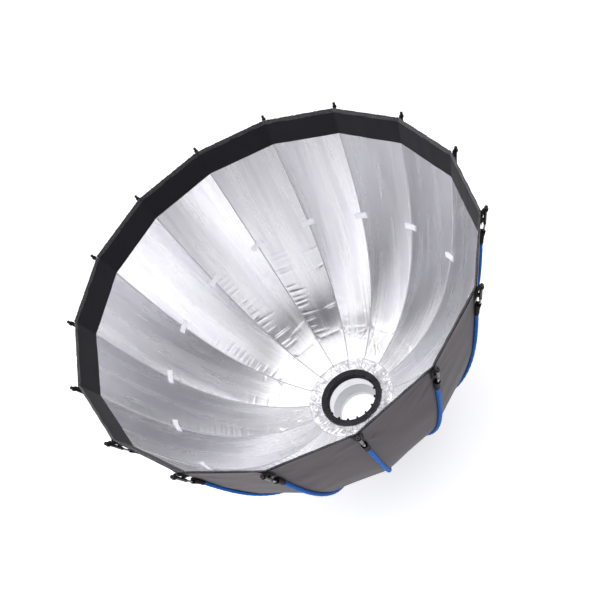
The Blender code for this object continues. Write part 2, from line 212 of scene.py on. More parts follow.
def on_gore(number, share, distance, offset):
    """Points of a gore: share 0 is its own rib's seam and 1 the next rib's, distance is from the
    rim, and offset is outward from the straight line between the two seams."""
    radius, height, out_radius, out_height = on_seam(distance)
    middle = (number - 0.5) * pitch
    flat = radius * math.cos(half_pitch)
    side = (2 * share - 1) * radius * math.sin(half_pitch)
    out_height = out_height * math.cos(half_pitch)
    length = np.hypot(out_radius, out_height)
    flat = flat + offset * out_radius / length
    height = height + offset * out_height / length
    return np.stack(
        [
            flat * math.cos(middle) - side * math.sin(middle),
            flat * math.sin(middle) + side * math.cos(middle),
            height,
        ],
        -1,
    )


def half_width(distance):
    return on_seam(distance)[0] * math.sin(half_pitch)


def cloth_mesh(name, front, back, across, along):
    """A thin closed mesh between two grids of points. across and along, in metres, are its UVs.
    Seen from the front, rows run up and columns run to the left."""
    rows, columns = front.shape[:2]
    number = np.arange(rows * columns).reshape(rows, columns)
    a, b, c, d = number[:-1, :-1], number[:-1, 1:], number[1:, 1:], number[1:, :-1]
    face = np.stack([a, b, c, d], -1).reshape(-1, 4)
    total = rows * columns
    edge = np.concatenate(
        [number[0, :], number[1:, -1], number[-1, -2::-1], number[-2::-1, 0]]
    )
    around = np.stack([edge[1:], edge[:-1], edge[:-1] + total, edge[1:] + total], -1)
    faces = np.concatenate([face, face[:, ::-1] + total, around])
    points = np.concatenate([front.reshape(-1, 3), back.reshape(-1, 3)])
    mesh = bpy.data.meshes.new(name)
    mesh.vertices.add(len(points))
    mesh.vertices.foreach_set("co", points.ravel())
    mesh.loops.add(faces.size)
    mesh.loops.foreach_set("vertex_index", faces.ravel())
    mesh.polygons.add(len(faces))
    mesh.polygons.foreach_set("loop_start", np.arange(len(faces)) * 4)
    mesh.update(calc_edges=True)
    flat = np.stack([across, along], -1).reshape(-1, 2)
    flat = np.concatenate([flat, flat])
    mesh.uv_layers.new(name="UVMap").data.foreach_set("uv", flat[faces.ravel()].ravel())
    mesh.shade_smooth()
    mesh.set_sharp_from_angle(angle=math.radians(70))
    made = bpy.data.objects.new(name, mesh)
    scene.collection.objects.link(made)
    return made


def gore_cloth(name, number, distances, columns, offset, thickness, shape):
    """A gore's cloth whose inner face lies at that offset plus shape(across, distance)."""
    share, distance = np.meshgrid(np.linspace(0, 1, columns), distances)
    half = half_width(distance)
    across = (2 * share - 1) * half
    lift = shape(across, distance, half)
    inner = on_gore(number, share, distance, offset + lift)
    outer = on_gore(number, share, distance, offset + thickness + lift)
    return cloth_mesh(name, inner, outer, across, distance + number * 0.7)


gore_end = distance_at(0.1050)
gore_sag = 0.0015
crease_ring = 0.560
lip_depth = 0.054
lining_start, lining_thickness = lip_depth - 0.006, 0.00035


def sag(across, distance, half):
    """How far the stretched cloth pulls inward between its two ribs."""
    run = np.clip(distance / crease_ring, 0, 1)
    return -gore_sag * np.sin(math.pi * run) ** 0.8 * (1 - (across / half) ** 2)


def smoothstep(x):
    x = np.clip(x, 0, 1)
    return x * x * (3 - 2 * x)


# How much each gore puckers, gore 1 first
pucker_shares = [0.1, 0.15, 0.3, 1, 1, 0.8, 0.5, 0.6, 0.7, 0.8, 1, 0.8, 0.6, 0.5, 0.3, 0.1]
# and how much it is crumpled inside the crease ring
crumple_shares = [0.3, 1, 1, 0.4, 0.25, 0.3, 0.3, 0.6, 1, 0.4, 0.3, 0.5, 0.4, 0.3, 0.4, 0.3]


def lining_shape(number):
    """The lining's own relief: long tension lines, puckers that start at a seam, and creases."""
    rng = np.random.default_rng(100 + number)
    share = pucker_shares[number - 1]
    tension = [
        (rng.uniform(0.006, 0.013), rng.uniform(-0.03, 0.03), rng.uniform(0, 6.28))
        for _ in range(5)
    ]
    puckers = []
    place = 0.285
    while place < 0.545:
        grown = 0.45 + 2.6 * (place - 0.29)
        side = 1 if number < 9 else -1
        puckers.append(
            (
                side if rng.uniform() < 0.85 else -side,
                place,
                rng.uniform(0.022, 0.062) * (0.55 + 0.45 * share),
                rng.uniform(0.0020, 0.0036),
                rng.choice([-1, 1], p=[0.7, 0.3]) * rng.uniform(0.5, 1.2) * 0.001 * share * grown,
                rng.uniform(-0.04, 0.16),
            )
        )
        place += rng.uniform(0.009, 0.022)
    crumple = crumple_shares[number - 1]
    wrinkles = []
    for k in range(int(10 + 34 * crumple)):
        low = k > 7
        place = rng.uniform(0.566, 0.618) if low else rng.uniform(0.055, 0.12)
        angle = rng.uniform(-1.5, 1.5) if low else rng.uniform(0.6, 2.4)
        rise = rng.uniform(0.08, 0.38) * crumple if low else rng.uniform(0.06, 0.25)
        wrinkles.append(
            (
                rng.uniform(-0.9, 0.9),
                place,
                angle,
                rng.uniform(0.005, 0.016) if low else rng.uniform(0.010, 0.03),
                rng.uniform(0.0012, 0.0026),
                rng.choice([-1, 1]) * rise * 0.001,
            )
        )

    def shape(across, distance, half):
        lift = 0.0
        fade = smoothstep((half - abs(across)) / 0.006)
        for length, slant, phase in tension:
            turn = 2 * math.pi * (across + slant * distance) / length + phase
            lift = lift + 0.0016 * length * np.sin(turn) * fade
        lift = lift - 0.0009 * np.exp(-abs(distance - crease_ring) / 0.006) * fade
        corner = np.exp(-(((half - abs(across)) / 0.007) ** 2))
        lift = lift + 0.0016 * corner * np.exp(-(((distance - crease_ring) / 0.004) ** 2))
        for side, place, reach, width, height, slant in puckers:
            inward = half - side * across
            run = np.clip(inward / reach, 0, 1)
            swell = np.sin(math.pi * run**0.6)
            ridge = np.exp(-(((distance - place - slant * inward) / width) ** 2))
            lift = lift + height * swell * ridge
        for middle, place, angle, reach, width, height in wrinkles:
            x = across - middle * half
            y = distance - place
            along = (x * math.cos(angle) + y * math.sin(angle)) / reach
            off = (-x * math.sin(angle) + y * math.cos(angle)) / width
            lift = lift + height * np.exp(-(along**2) - off**2) * fade
        return sag(across, distance, half) + np.minimum(lift, 0.0003 + 0.0011 * fade)

    return shape


def silver_coating():
    """Aluminium-coated nylon: a satin mirror that smears reflections along the gore, with fine
    drawn streaks, a soft grain, and patches that were pressed flatter than others."""
    finish, tree, shader = new_finish(
        "silver_coated_nylon", Metallic=0.93, Anisotropic=0.5, Anisotropic_Rotation=0.25
    )
    grooves = add_node(tree, "Tangent", direction_type="UV_MAP", uv_map="UVMap")
    tree.links.new(grooves.outputs[0], shader.inputs["Tangent"])
    place = add_node(tree, "UVMap", uv_map="UVMap").outputs["UV"]
    # streaks 2.5 mm apart that run 120 mm along the gore
    streak_map = add_node(tree, "Mapping", [(place, "Vector")], in_Scale=(400, 8, 1))
    streaks = add_node(
        tree, "TexNoise", [(streak_map.outputs[0], "Vector")],
        in_Scale=1.0, in_Detail=3.0, in_Roughness=0.6,
    )
    # broad bands 20 mm wide
    band_map = add_node(tree, "Mapping", [(place, "Vector")], in_Scale=(45, 3, 1))
    bands = add_node(
        tree, "TexNoise", [(band_map.outputs[0], "Vector")], in_Scale=1.0, in_Detail=2.0
    )
    # the nylon's grain, drawn at 1.2 mm because the real 0.3 mm thread wouldn't show
    grain = add_node(tree, "TexNoise", [(place, "Vector")], in_Scale=800.0, in_Detail=1.0)
    tone = add_node(tree, "ValToRGB", [(bands.outputs["Fac"], "Fac")])
    tone.color_ramp.elements[0].position = 0.35
    tone.color_ramp.elements[0].color = linear("#e6e5ea")
    tone.color_ramp.elements[1].position = 0.62
    tone.color_ramp.elements[1].color = linear("#f4f4f6")
    drawn = add_node(
        tree, "Mix", [(tone.outputs["Color"], 6)], data_type="RGBA", blend_type="MULTIPLY",
        in_0=0.16,
    )
    line_tone = add_node(tree, "ValToRGB", [(streaks.outputs["Fac"], "Fac")])
    line_tone.color_ramp.elements[0].position = 0.32
    line_tone.color_ramp.elements[0].color = (0.62, 0.61, 0.64, 1)
    line_tone.color_ramp.elements[1].position = 0.6
    tree.links.new(line_tone.outputs["Color"], drawn.inputs[7])
    tree.links.new(drawn.outputs[2], shader.inputs["Base Color"])
    gloss = add_node(
        tree, "MapRange", [(bands.outputs["Fac"], "Value")],
        in_3=0.24, in_4=0.29, in_1=0.3, in_2=0.7,
    )
    tree.links.new(gloss.outputs[0], shader.inputs["Roughness"])
    fine = add_node(
        tree, "Bump", [(grain.outputs["Fac"], "Height")], in_Strength=0.15, in_Distance=0.0001
    )
    lines = add_node(
        tree, "Bump", [(streaks.outputs["Fac"], "Height"), (fine.outputs[0], "Normal")],
        in_Strength=0.18, in_Distance=0.0003,
    )
    tree.links.new(lines.outputs[0], shader.inputs["Normal"])
    return finish


silver = silver_coating()
lining_rows = np.linspace(lining_start, gore_end, 290)


def join_gore(piece):
    """Bakes a gore's cloth into place; it is not tied to the ribs it lies between."""
    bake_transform(piece)


for number in range(1, ribs + 1):
    lining = gore_cloth(
        f"lining_{number:02d}", number, lining_rows, 41, 0.0, lining_thickness, lining_shape(number)
    )
    lining.data.materials.append(silver)
    join_gore(lining)


# Outer shell. Sixteen gores of grey polyester with a coated back, sewn along the same seams as
# the lining and pulled tight over the ribs, with soft folds where the tip clips pull on the rim.

shell_offset, shell_thickness = 0.0010, 0.0005
cloth_gap = 0.0012


def shell_shape(number):
    rng = np.random.default_rng(200 + number)
    folds = []
    for side in (-1, 1):
        for _ in range(5):
            folds.append(
                (
                    side,
                    rng.uniform(0.0, 0.05),
                    rng.uniform(0.35, 1.3),
                    rng.uniform(0.05, 0.13),
                    rng.uniform(0.003, 0.007),
                    rng.choice([-1, 1]) * rng.uniform(0.3, 1.1) * 0.001,
                )
            )
    waves = [
        (rng.uniform(0.06, 0.2), rng.uniform(-0.8, 0.8), rng.uniform(0, 6.28)) for _ in range(4)
    ]

    def shape(across, distance, half):
        relief = 0.0
        for length, slant, phase in waves:
            turn = 2 * math.pi * (distance + slant * across) / length + phase
            relief = relief + 0.0003 * np.sin(turn)
        for side, place, angle, reach, width, height in folds:
            x = half - side * across
            y = distance - place
            along = x * math.cos(angle) + y * math.sin(angle)
            off = (-x * math.sin(angle) + y * math.cos(angle)) / width
            run = np.clip(along / reach, 0, 1)
            relief = relief + height * np.sin(math.pi * run**0.7) * np.exp(-(off**2))
        fade = smoothstep((half - abs(across)) / 0.012)
        return sag(across, distance, half) + fade * (cloth_gap + np.maximum(relief, -0.0004))

    return shape


def coated_polyester():
    """Polyurethane-coated polyester: warm grey with a low satin sheen and a fine plain weave."""
    finish, tree, shader = new_finish(
        "coated_grey_polyester", Roughness=0.55, Specular_IOR_Level=0.22, Sheen_Weight=0.03,
        Sheen_Roughness=0.4,
    )
    place = add_node(tree, "UVMap", uv_map="UVMap").outputs["UV"]
    # a plain weave, drawn at 1.6 mm because the real 0.25 mm thread wouldn't show
    weave = add_node(
        tree, "TexChecker", [(place, "Vector")], in_Scale=1250.0,
        in_Color1=linear("#3f383e"), in_Color2=linear("#463f45"),
    )
    mottle = add_node(tree, "TexNoise", [(place, "Vector")], in_Scale=18.0, in_Detail=4.0)
    tone = add_node(tree, "ValToRGB", [(mottle.outputs["Fac"], "Fac")])
    tone.color_ramp.elements[0].color = (0.82, 0.82, 0.83, 1)
    tone.color_ramp.elements[0].position = 0.3
    tone.color_ramp.elements[1].color = (1, 1, 1, 1)
    tone.color_ramp.elements[1].position = 0.7
    mixed = add_node(
        tree, "Mix", [(weave.outputs["Color"], 6), (tone.outputs["Color"], 7)],
        data_type="RGBA", blend_type="MULTIPLY", in_0=0.8,
    )
    tree.links.new(mixed.outputs[2], shader.inputs["Base Color"])
    thread = add_node(tree, "TexNoise", [(place, "Vector")], in_Scale=600.0, in_Detail=2.0)
    bump = add_node(
        tree, "Bump", [(thread.outputs["Fac"], "Height")], in_Strength=0.3, in_Distance=0.0003
    )
    tree.links.new(bump.outputs[0], shader.inputs["Normal"])
    return finish


grey_cloth = coated_polyester()
shell_rows = np.linspace(0.0, gore_end, 130)

for number in range(1, ribs + 1):
    shell = gore_cloth(
        f"shell_{number:02d}", number, shell_rows, 25, shell_offset, shell_thickness,
        shell_shape(number),
    )
    shell.data.materials.append(grey_cloth)
    join_gore(shell)
    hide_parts(f"panel_{number:02d}")


# Lip band. A strip of matt black plain-woven polyester, 54 mm deep, sewn flat inside the rim,
# one length for each gore. It stops stray light and carries the front diffuser.

lip_rows = np.linspace(0.0, lip_depth, 28)
lip_offset, lip_thickness = -0.0008, 0.0006


def lip_shape(number):
    rng = np.random.default_rng(300 + number)
    waves = [(rng.uniform(0.03, 0.09), rng.uniform(0, 6.28)) for _ in range(4)]

    def shape(across, distance, half):
        lift = sag(across, distance, half)
        for length, phase in waves:
            lift = lift + 0.00012 * np.sin(2 * math.pi * (across + 0.3 * distance) / length + phase)
        return lift

    return shape


def plain_black_weave():
    """Matt black polyester: near black with a violet cast, threads that catch a little light."""
    finish, tree, shader = new_finish(
        "matt_black_polyester", Roughness=0.88, Specular_IOR_Level=0.25, Sheen_Weight=0.12
    )
    place = add_node(tree, "UVMap", uv_map="UVMap").outputs["UV"]
    # fibre speckle 1.5 mm across, coarser than the thread so that it shows
    speckle = add_node(tree, "TexNoise", [(place, "Vector")], in_Scale=650.0, in_Detail=3.0)
    tone = add_node(tree, "ValToRGB", [(speckle.outputs["Fac"], "Fac")])
    tone.color_ramp.elements[0].position = 0.35
    tone.color_ramp.elements[0].color = linear("#121015")
    tone.color_ramp.elements[1].position = 0.72
    tone.color_ramp.elements[1].color = linear("#26242b")
    tree.links.new(tone.outputs["Color"], shader.inputs["Base Color"])
    bump = add_node(
        tree, "Bump", [(speckle.outputs["Fac"], "Height")], in_Strength=0.4, in_Distance=0.0004
    )
    tree.links.new(bump.outputs[0], shader.inputs["Normal"])
    return finish


black_cloth = plain_black_weave()

for number in range(1, ribs + 1):
    lip = gore_cloth(
        f"lip_{number:02d}", number, lip_rows, 31, lip_offset, lip_thickness, lip_shape(number)
    )
    lip.data.materials.append(black_cloth)
    join_gore(lip)


# Seams. Where two gores of lining meet along a rib, their edges are turned back together and
# stitched, which leaves a thin raised line of silver cloth from the lip down to the collar.


def on_rib(distance, offset, side, number=1):
    """Points over a rib: offset outward from the seam line, and side across the rib."""
    radius, height, out_radius, out_height = on_seam(distance)
    radius = radius + offset * out_radius
    turn = (number - 1) * pitch
    return np.stack(
        [
            radius * math.cos(turn) - side * math.sin(turn),
            radius * math.sin(turn) + side * math.cos(turn),
            height + offset * out_height,
        ],
        -1,
    )


def sewn_tube(name, distances, outline, number=1):
    """A closed tube along a rib. outline(distances) gives the sides and offsets of its section, a
    row for each distance, counterclockwise seen from the hub."""
    side, offset = outline(distances)
    rows, columns = side.shape
    points = on_rib(distances[:, None], offset, side, number).reshape(-1, 3)
    mesh = bpy.data.meshes.new(name)
    faces = []
    for row in range(rows - 1):
        for k in range(columns):
            a, b = row * columns + k, row * columns + (k + 1) % columns
            faces.append((a, b, b + columns, a + columns))
    faces.append(tuple(reversed(range(columns))))
    faces.append(tuple(range((rows - 1) * columns, rows * columns)))
    mesh.from_pydata(points.tolist(), [], faces)
    work = bmesh.new()
    work.from_mesh(mesh)
    bmesh.ops.recalc_face_normals(work, faces=work.faces)
    places = work.loops.layers.uv.new("UVMap")
    for face in work.faces:
        for loop in face.loops:
            row, column = divmod(loop.vert.index, columns)
            loop[places].uv = (column / columns * 0.02, distances[row])
    work.to_mesh(mesh)
    work.free()
    mesh.shade_smooth()
    mesh.set_sharp_from_angle(angle=math.radians(50))
    made = bpy.data.objects.new(name, mesh)
    scene.collection.objects.link(made)
    return made


def round_copies(first, body, slot, *replaced):
    """Copies a piece made over rib 1 to the other ribs, each with its own mesh, and rides them."""
    stem = first.name[: -len("_01")]
    made = [first]
    for number in range(2, ribs + 1):
        mesh = first.data.copy()
        mesh.name = f"{stem}_{number:02d}"
        mesh.transform(Matrix.Rotation((number - 1) * pitch, 4, "Z"))
        copy = bpy.data.objects.new(mesh.name, mesh)
        scene.collection.objects.link(copy)
        made.append(copy)
    for number, piece in enumerate(made, 1):
        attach(piece, f"{body}_{number:02d}")
        for node in replaced:
            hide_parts(f"{node}_{number:02d}")
    return made


def stitched_silver():
    """The same silver cloth folded double and stitched: duller, with a row of needle holes."""
    finish, tree, shader = new_finish("stitched_silver_nylon", Metallic=0.6, Roughness=0.4)
    place = add_node(tree, "UVMap", uv_map="UVMap").outputs["UV"]
    # stitches 3 mm long
    stitch = add_node(
        tree, "TexWave", [(place, "Vector")], bands_direction="Y", in_Scale=105.0,
        in_Distortion=0.6,
    )
    worn = add_node(tree, "TexNoise", [(place, "Vector")], in_Scale=120.0, in_Detail=4.0)
    height = add_node(
        tree, "Math", [(stitch.outputs["Fac"], 0), (worn.outputs["Fac"], 1)], operation="MULTIPLY"
    )
    tone = add_node(tree, "ValToRGB", [(height.outputs[0], "Fac")])
    tone.color_ramp.elements[0].color = linear("#b4b3b8")
    tone.color_ramp.elements[1].color = linear("#f2f2f4")
    tone.color_ramp.elements[1].position = 0.4
    tree.links.new(tone.outputs["Color"], shader.inputs["Base Color"])
    bump = add_node(
        tree, "Bump", [(height.outputs[0], "Height")], in_Strength=0.5, in_Distance=0.0005
    )
    tree.links.new(bump.outputs[0], shader.inputs["Normal"])
    return finish


seam_width, seam_rise = 0.0028, 0.0017


def seam_outline(distances):
    turns = np.linspace(0, 2 * math.pi, 8, endpoint=False)
    wobble = 1 + 0.15 * np.sin(distances * 900)[:, None]
    side = seam_width / 2 * np.cos(turns) * wobble
    offset = 0.0002 - seam_rise * np.sin(turns) * np.where(np.sin(turns) > 0, 1, 0.3) * wobble
    return side, offset


seam_rows = np.linspace(lip_depth + 0.001, gore_end, 150)
seam = sewn_tube("seam_01", seam_rows, seam_outline)
seam_silver = stitched_silver()
seam.data.materials.append(seam_silver)
round_copies(seam, "rib", "silver_cloth")


# Lip seams. The black band's lengths are joined edge to edge over each rib, and the join is
# felled flat with black thread.

lip_seam_width, lip_seam_rise = 0.0032, 0.0006


def lip_seam_outline(distances):
    turns = np.linspace(0, 2 * math.pi, 8, endpoint=False)
    side = lip_seam_width / 2 * np.cos(turns) + 0 * distances[:, None]
    offset = lip_offset - lip_seam_rise * np.sin(turns) + 0 * distances[:, None]
    return side, offset


# black polyester thread, matt and slightly fuzzy
black_thread, thread_tree, thread_shader = new_finish("black_stitching", Roughness=0.8)
thread_place = add_node(thread_tree, "UVMap", uv_map="UVMap").outputs["UV"]
# stitches 3 mm long
stitch_wave = add_node(
    thread_tree, "TexWave", [(thread_place, "Vector")], bands_direction="Y", in_Scale=105.0
)
thread_tone = add_node(thread_tree, "ValToRGB", [(stitch_wave.outputs["Fac"], "Fac")])
thread_tone.color_ramp.elements[0].color = linear("#050506")
thread_tone.color_ramp.elements[1].color = linear("#0e0d10")
thread_tree.links.new(thread_tone.outputs["Color"], thread_shader.inputs["Base Color"])

lip_seam = sewn_tube("lip_seam_01", np.linspace(0.0005, lip_depth, 12), lip_seam_outline)
lip_seam.data.materials.append(black_thread)
round_copies(lip_seam, "rib", "black_lining")


# Rim tape. Hook tape sewn on edge round the rim, gore by gore, for the front diffuser. Its nylon
# hooks give it a rough, speckled, slightly wavy face.

tape_inner, tape_outer = -0.0009, 0.0014
tape_sewn_in, tape_height = 0.0015, 0.0078
roughest_gore = 3.2


def tape_mesh(number):
    """The tape stands past the rim, lumpier on the gores where it has been pressed and pulled."""
    rng = np.random.default_rng(400 + number)
    rough = 0.35 + 0.65 * (0.5 + 0.5 * math.cos((number - roughest_gore) * pitch))
    columns, rows = 120, 11
    share = np.linspace(0.004, 0.996, columns)
    height = tape_height * min(max((rough - 0.22) / 0.6, 0.26), 1)
    lump = sum(
        rng.uniform(0.3, 1) * np.sin(2 * math.pi * share * rng.integers(6, 34) + rng.uniform(0, 6))
        for _ in range(9)
    )
    across_rows = np.linspace(tape_sewn_in, -height, rows)
    share_grid, distance = np.meshgrid(share, across_rows)
    grow = smoothstep((tape_sewn_in - distance) / height)
    distance = distance - 0.00028 * rough * lump[None, :] * grow
    fuzz = rng.normal(0, 0.00016 * rough, share_grid.shape)
    wave = 0.0005 * rough * grow * np.sin(share_grid * 26 + number)
    inner = on_gore(number, share_grid, distance, tape_inner + wave + fuzz)
    outer = on_gore(number, share_grid, distance, tape_outer + wave + fuzz[::-1])
    across = (share_grid - 0.5) * 2 * float(half_width(0.0))
    return cloth_mesh(f"rim_tape_{number:02d}", inner[::-1], outer[::-1], across, distance)


def hook_tape():
    """Black nylon hook tape: a rough dark ground with grey flecks where the hooks catch light."""
    finish, tree, shader = new_finish("nylon_hook_tape", Roughness=0.7, Sheen_Weight=0.3)
    place = add_node(tree, "UVMap", uv_map="UVMap").outputs["UV"]
    # hooks 1.8 mm apart
    hooks = add_node(tree, "TexVoronoi", [(place, "Vector")], in_Scale=560.0)
    fleck = add_node(tree, "TexNoise", [(place, "Vector")], in_Scale=420.0, in_Detail=3.0)
    tone = add_node(tree, "ValToRGB", [(fleck.outputs["Fac"], "Fac")])
    tone.color_ramp.elements[0].position = 0.42
    tone.color_ramp.elements[0].color = linear("#0e0d10")
    tone.color_ramp.elements[1].position = 0.66
    tone.color_ramp.elements[1].color = linear("#67656b")
    # the tape's two woven edges and the line of stitching between them
    edges = add_node(
        tree, "TexWave", [(place, "Vector")], bands_direction="Y", in_Scale=66.0,
        in_Distortion=0.8, in_Detail_Scale=3.0,
    )
    line = add_node(tree, "ValToRGB", [(edges.outputs["Fac"], "Fac")])
    line.color_ramp.elements[0].color = (0.22, 0.22, 0.23, 1)
    line.color_ramp.elements[1].color = (1, 1, 1, 1)
    line.color_ramp.elements[1].position = 0.35
    lined = add_node(
        tree, "Mix", [(tone.outputs["Color"], 6), (line.outputs["Color"], 7)],
        data_type="RGBA", blend_type="MULTIPLY", in_0=1.0,
    )
    tree.links.new(lined.outputs[2], shader.inputs["Base Color"])
    bump = add_node(
        tree, "Bump", [(hooks.outputs["Distance"], "Height")], in_Strength=0.8, in_Distance=0.0010
    )
    tree.links.new(bump.outputs[0], shader.inputs["Normal"])
    return finish


hook_finish = hook_tape()
for number in range(1, ribs + 1):
    tape = tape_mesh(number)
    tape.data.materials.append(hook_finish)
    join_gore(tape)


# Baffle tabs. A folded ribbon of white satin, 14 mm wide, is sewn across each rib's seam a little
# less than halfway down, for the hooks of an inner diffuser.

tab_distance, tab_width, tab_length = 0.275, 0.014, 0.032
tab_tilt = math.radians(-12)


def white_satin():
    """Polyester satin ribbon: milky white, slightly see-through, smooth along its length."""
    # The weak glow isn't the ribbon's own. It only lifts the tabs to their brightness in the studio.
    finish, tree, shader = new_finish(
        "white_satin_ribbon", Roughness=0.38, Subsurface_Weight=0.15,
        Subsurface_Radius=(0.002, 0.002, 0.002), Emission_Color=(0.93, 0.92, 1.0, 1),
        Emission_Strength=0.22,
    )
    place = add_node(tree, "UVMap", uv_map="UVMap").outputs["UV"]
    # ribbon ribs 0.9 mm apart
    threads = add_node(
        tree, "TexWave", [(place, "Vector")], bands_direction="X", in_Scale=350.0,
        in_Distortion=0.4,
    )
    tone = add_node(tree, "ValToRGB", [(threads.outputs["Fac"], "Fac")])
    tone.color_ramp.elements[0].color = linear("#e9e8f0")
    tone.color_ramp.elements[1].color = linear("#fbfbfd")
    tree.links.new(tone.outputs["Color"], shader.inputs["Base Color"])
    bump = add_node(
        tree, "Bump", [(threads.outputs["Fac"], "Height")], in_Strength=0.2, in_Distance=0.0002
    )
    tree.links.new(bump.outputs[0], shader.inputs["Normal"])
    return finish


def tab_mesh(number):
    rng = np.random.default_rng(500 + number)
    tilt = tab_tilt * rng.uniform(0.4, 1.5)
    rows, columns = 14, 25
    width = np.linspace(-tab_width / 2, tab_width / 2, rows)
    length = np.linspace(-tab_length / 2, tab_length / 2, columns)
    side, up = np.meshgrid(length, width)
    distance = tab_distance - up * math.cos(tilt) - side * math.sin(tilt)
    side = side * math.cos(tilt) - up * math.sin(tilt)
    # it lies on the two gores, which turn away from each other at the seam
    half = half_width(distance)
    drop = abs(side) * math.tan(half_pitch) - sag(half - abs(side), distance, half)
    crown = 0.0004 * np.cos(side / tab_length * 2 * math.pi)
    crown = crown + 0.0012 * np.exp(-((side / 0.003) ** 2))
    curl = 0.0012 * smoothstep((abs(side) / (tab_length / 2) - 0.75) / 0.25)
    top = -(0.0013 + crown + curl) - drop + 0.0006
    inner = on_rib(distance, top - 0.0003, side, number)
    outer = on_rib(distance, top, side, number)
    return cloth_mesh(f"tab_{number:02d}", inner, outer, up, side)


satin = white_satin()
for number in range(1, ribs + 1):
    tab = tab_mesh(number)
    tab.data.materials.append(satin)
    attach(tab, f"rib_{number:02d}")


# Rib sleeves. A tunnel of blue woven tape is sewn over each rib on the outside of the canopy, and
# its end at the rim is closed with a square-cut black one, through which the rib's tip comes out.

sleeve_top, sleeve_end = 0.083, distance_at(0.096)
end_sleeve_start = 0.052
wire_offset, tip_offset = 0.0046, 0.0107
spread_start, spread_end = 0.080, 0.035


def rod_offset(distance):
    """How far outside the seam line the rib's wire runs: it lifts away towards its tip."""
    run = (spread_start - distance) / (spread_start - spread_end)
    return wire_offset + (tip_offset - wire_offset) * smoothstep(run)


def tunnel_outline(distances, half_base, base, rise, seed, crumple):
    """A flattened tunnel section, with small random wrinkles across it along its length."""
    rng = np.random.default_rng(seed)
    turns = np.linspace(0, 2 * math.pi, 20, endpoint=False)
    square = 0.62
    sides = np.sign(np.cos(turns)) * abs(np.cos(turns)) ** square
    ups = np.sign(np.sin(turns)) * abs(np.sin(turns)) ** square
    wrinkle = sum(
        np.sin(2 * math.pi * distances / rng.uniform(0.006, 0.03) + rng.uniform(0, 6))
        for _ in range(5)
    )[:, None]
    taper = 1 - 0.28 * (ups + 1) / 2
    side = half_base * sides * taper * (1 + 0.025 * crumple * wrinkle)
    middle = (base + rise)[:, None] / 2
    half_rise = (rise - base)[:, None] / 2
    offset = middle + half_rise * ups * (1 + 0.03 * crumple * wrinkle * (ups > 0))
    return side, offset


sleeve_base = 0.0014


def blue_outline(distances):
    base = np.full_like(distances, sleeve_base)
    rise = np.full_like(distances, 0.0079)
    return tunnel_outline(distances, 0.0044, base, rise, 600, 1.0)


def black_end_outline(distances):
    base = np.full_like(distances, sleeve_base)
    rise = 0.0092 + 0.85 * (rod_offset(distances) - wire_offset)
    return tunnel_outline(distances, 0.0064, base, rise, 601, 0.6)


def woven_tape(name, dark, light):
    """Woven polyester tape: a satin rib weave that runs across the tape, a little soft."""
    finish, tree, shader = new_finish(name, Roughness=0.6, Specular_IOR_Level=0.1)
    place = add_node(tree, "UVMap", uv_map="UVMap").outputs["UV"]
    # weft ribs 1.4 mm apart, coarser than the real 0.6 mm so that they show
    weft = add_node(
        tree, "TexWave", [(place, "Vector")], bands_direction="Y", in_Scale=225.0,
        in_Distortion=1.5, in_Detail=2.0, in_Detail_Scale=2.0,
    )
    worn = add_node(tree, "TexNoise", [(place, "Vector")], in_Scale=60.0, in_Detail=4.0)
    height = add_node(
        tree, "Math", [(weft.outputs["Fac"], 0), (worn.outputs["Fac"], 1)], operation="MULTIPLY"
    )
    tone = add_node(tree, "ValToRGB", [(height.outputs[0], "Fac")])
    tone.color_ramp.elements[0].color = linear(dark)
    tone.color_ramp.elements[1].color = linear(light)
    tone.color_ramp.elements[1].position = 0.55
    tree.links.new(tone.outputs["Color"], shader.inputs["Base Color"])
    bump = add_node(
        tree, "Bump", [(height.outputs[0], "Height")], in_Strength=0.35, in_Distance=0.0004
    )
    tree.links.new(bump.outputs[0], shader.inputs["Normal"])
    return finish


sleeve = sewn_tube("sleeve_01", np.linspace(sleeve_top, sleeve_end, 170), blue_outline)
sleeve.data.materials.append(woven_tape("blue_woven_tape", "#003c88", "#0074d6"))
round_copies(sleeve, "rib", "blue_webbing")

black_tape = woven_tape("black_woven_tape", "#050506", "#111013")
end_sleeve = sewn_tube(
    "end_sleeve_01", np.linspace(end_sleeve_start, sleeve_top + 0.001, 26), black_end_outline
)
end_sleeve.data.materials.append(black_tape)
round_copies(end_sleeve, "rib", "black_webbing")


# Ribs. Sprung steel wire 4 mm thick, bent to the canopy's line. Each ends at the hub in a flattened
# eye on the hinge wire, and at the rim in a crimped nickel-plated barrel with a ball on its neck.

hinge_radius, hinge_height = 0.081, 0.0693
wire_radius, barrel_radius, ball_radius = 0.0020, 0.0030, 0.0036
barrel_top, barrel_bottom = -0.003, 0.033
ball_distance = -0.013


def rod_outline(radius_of):
    def outline(distances):
        turns = np.linspace(0, 2 * math.pi, 14, endpoint=False)
        radius = radius_of(distances)[:, None]
        return radius * np.cos(turns), rod_offset(distances)[:, None] + radius * np.sin(turns)

    return outline


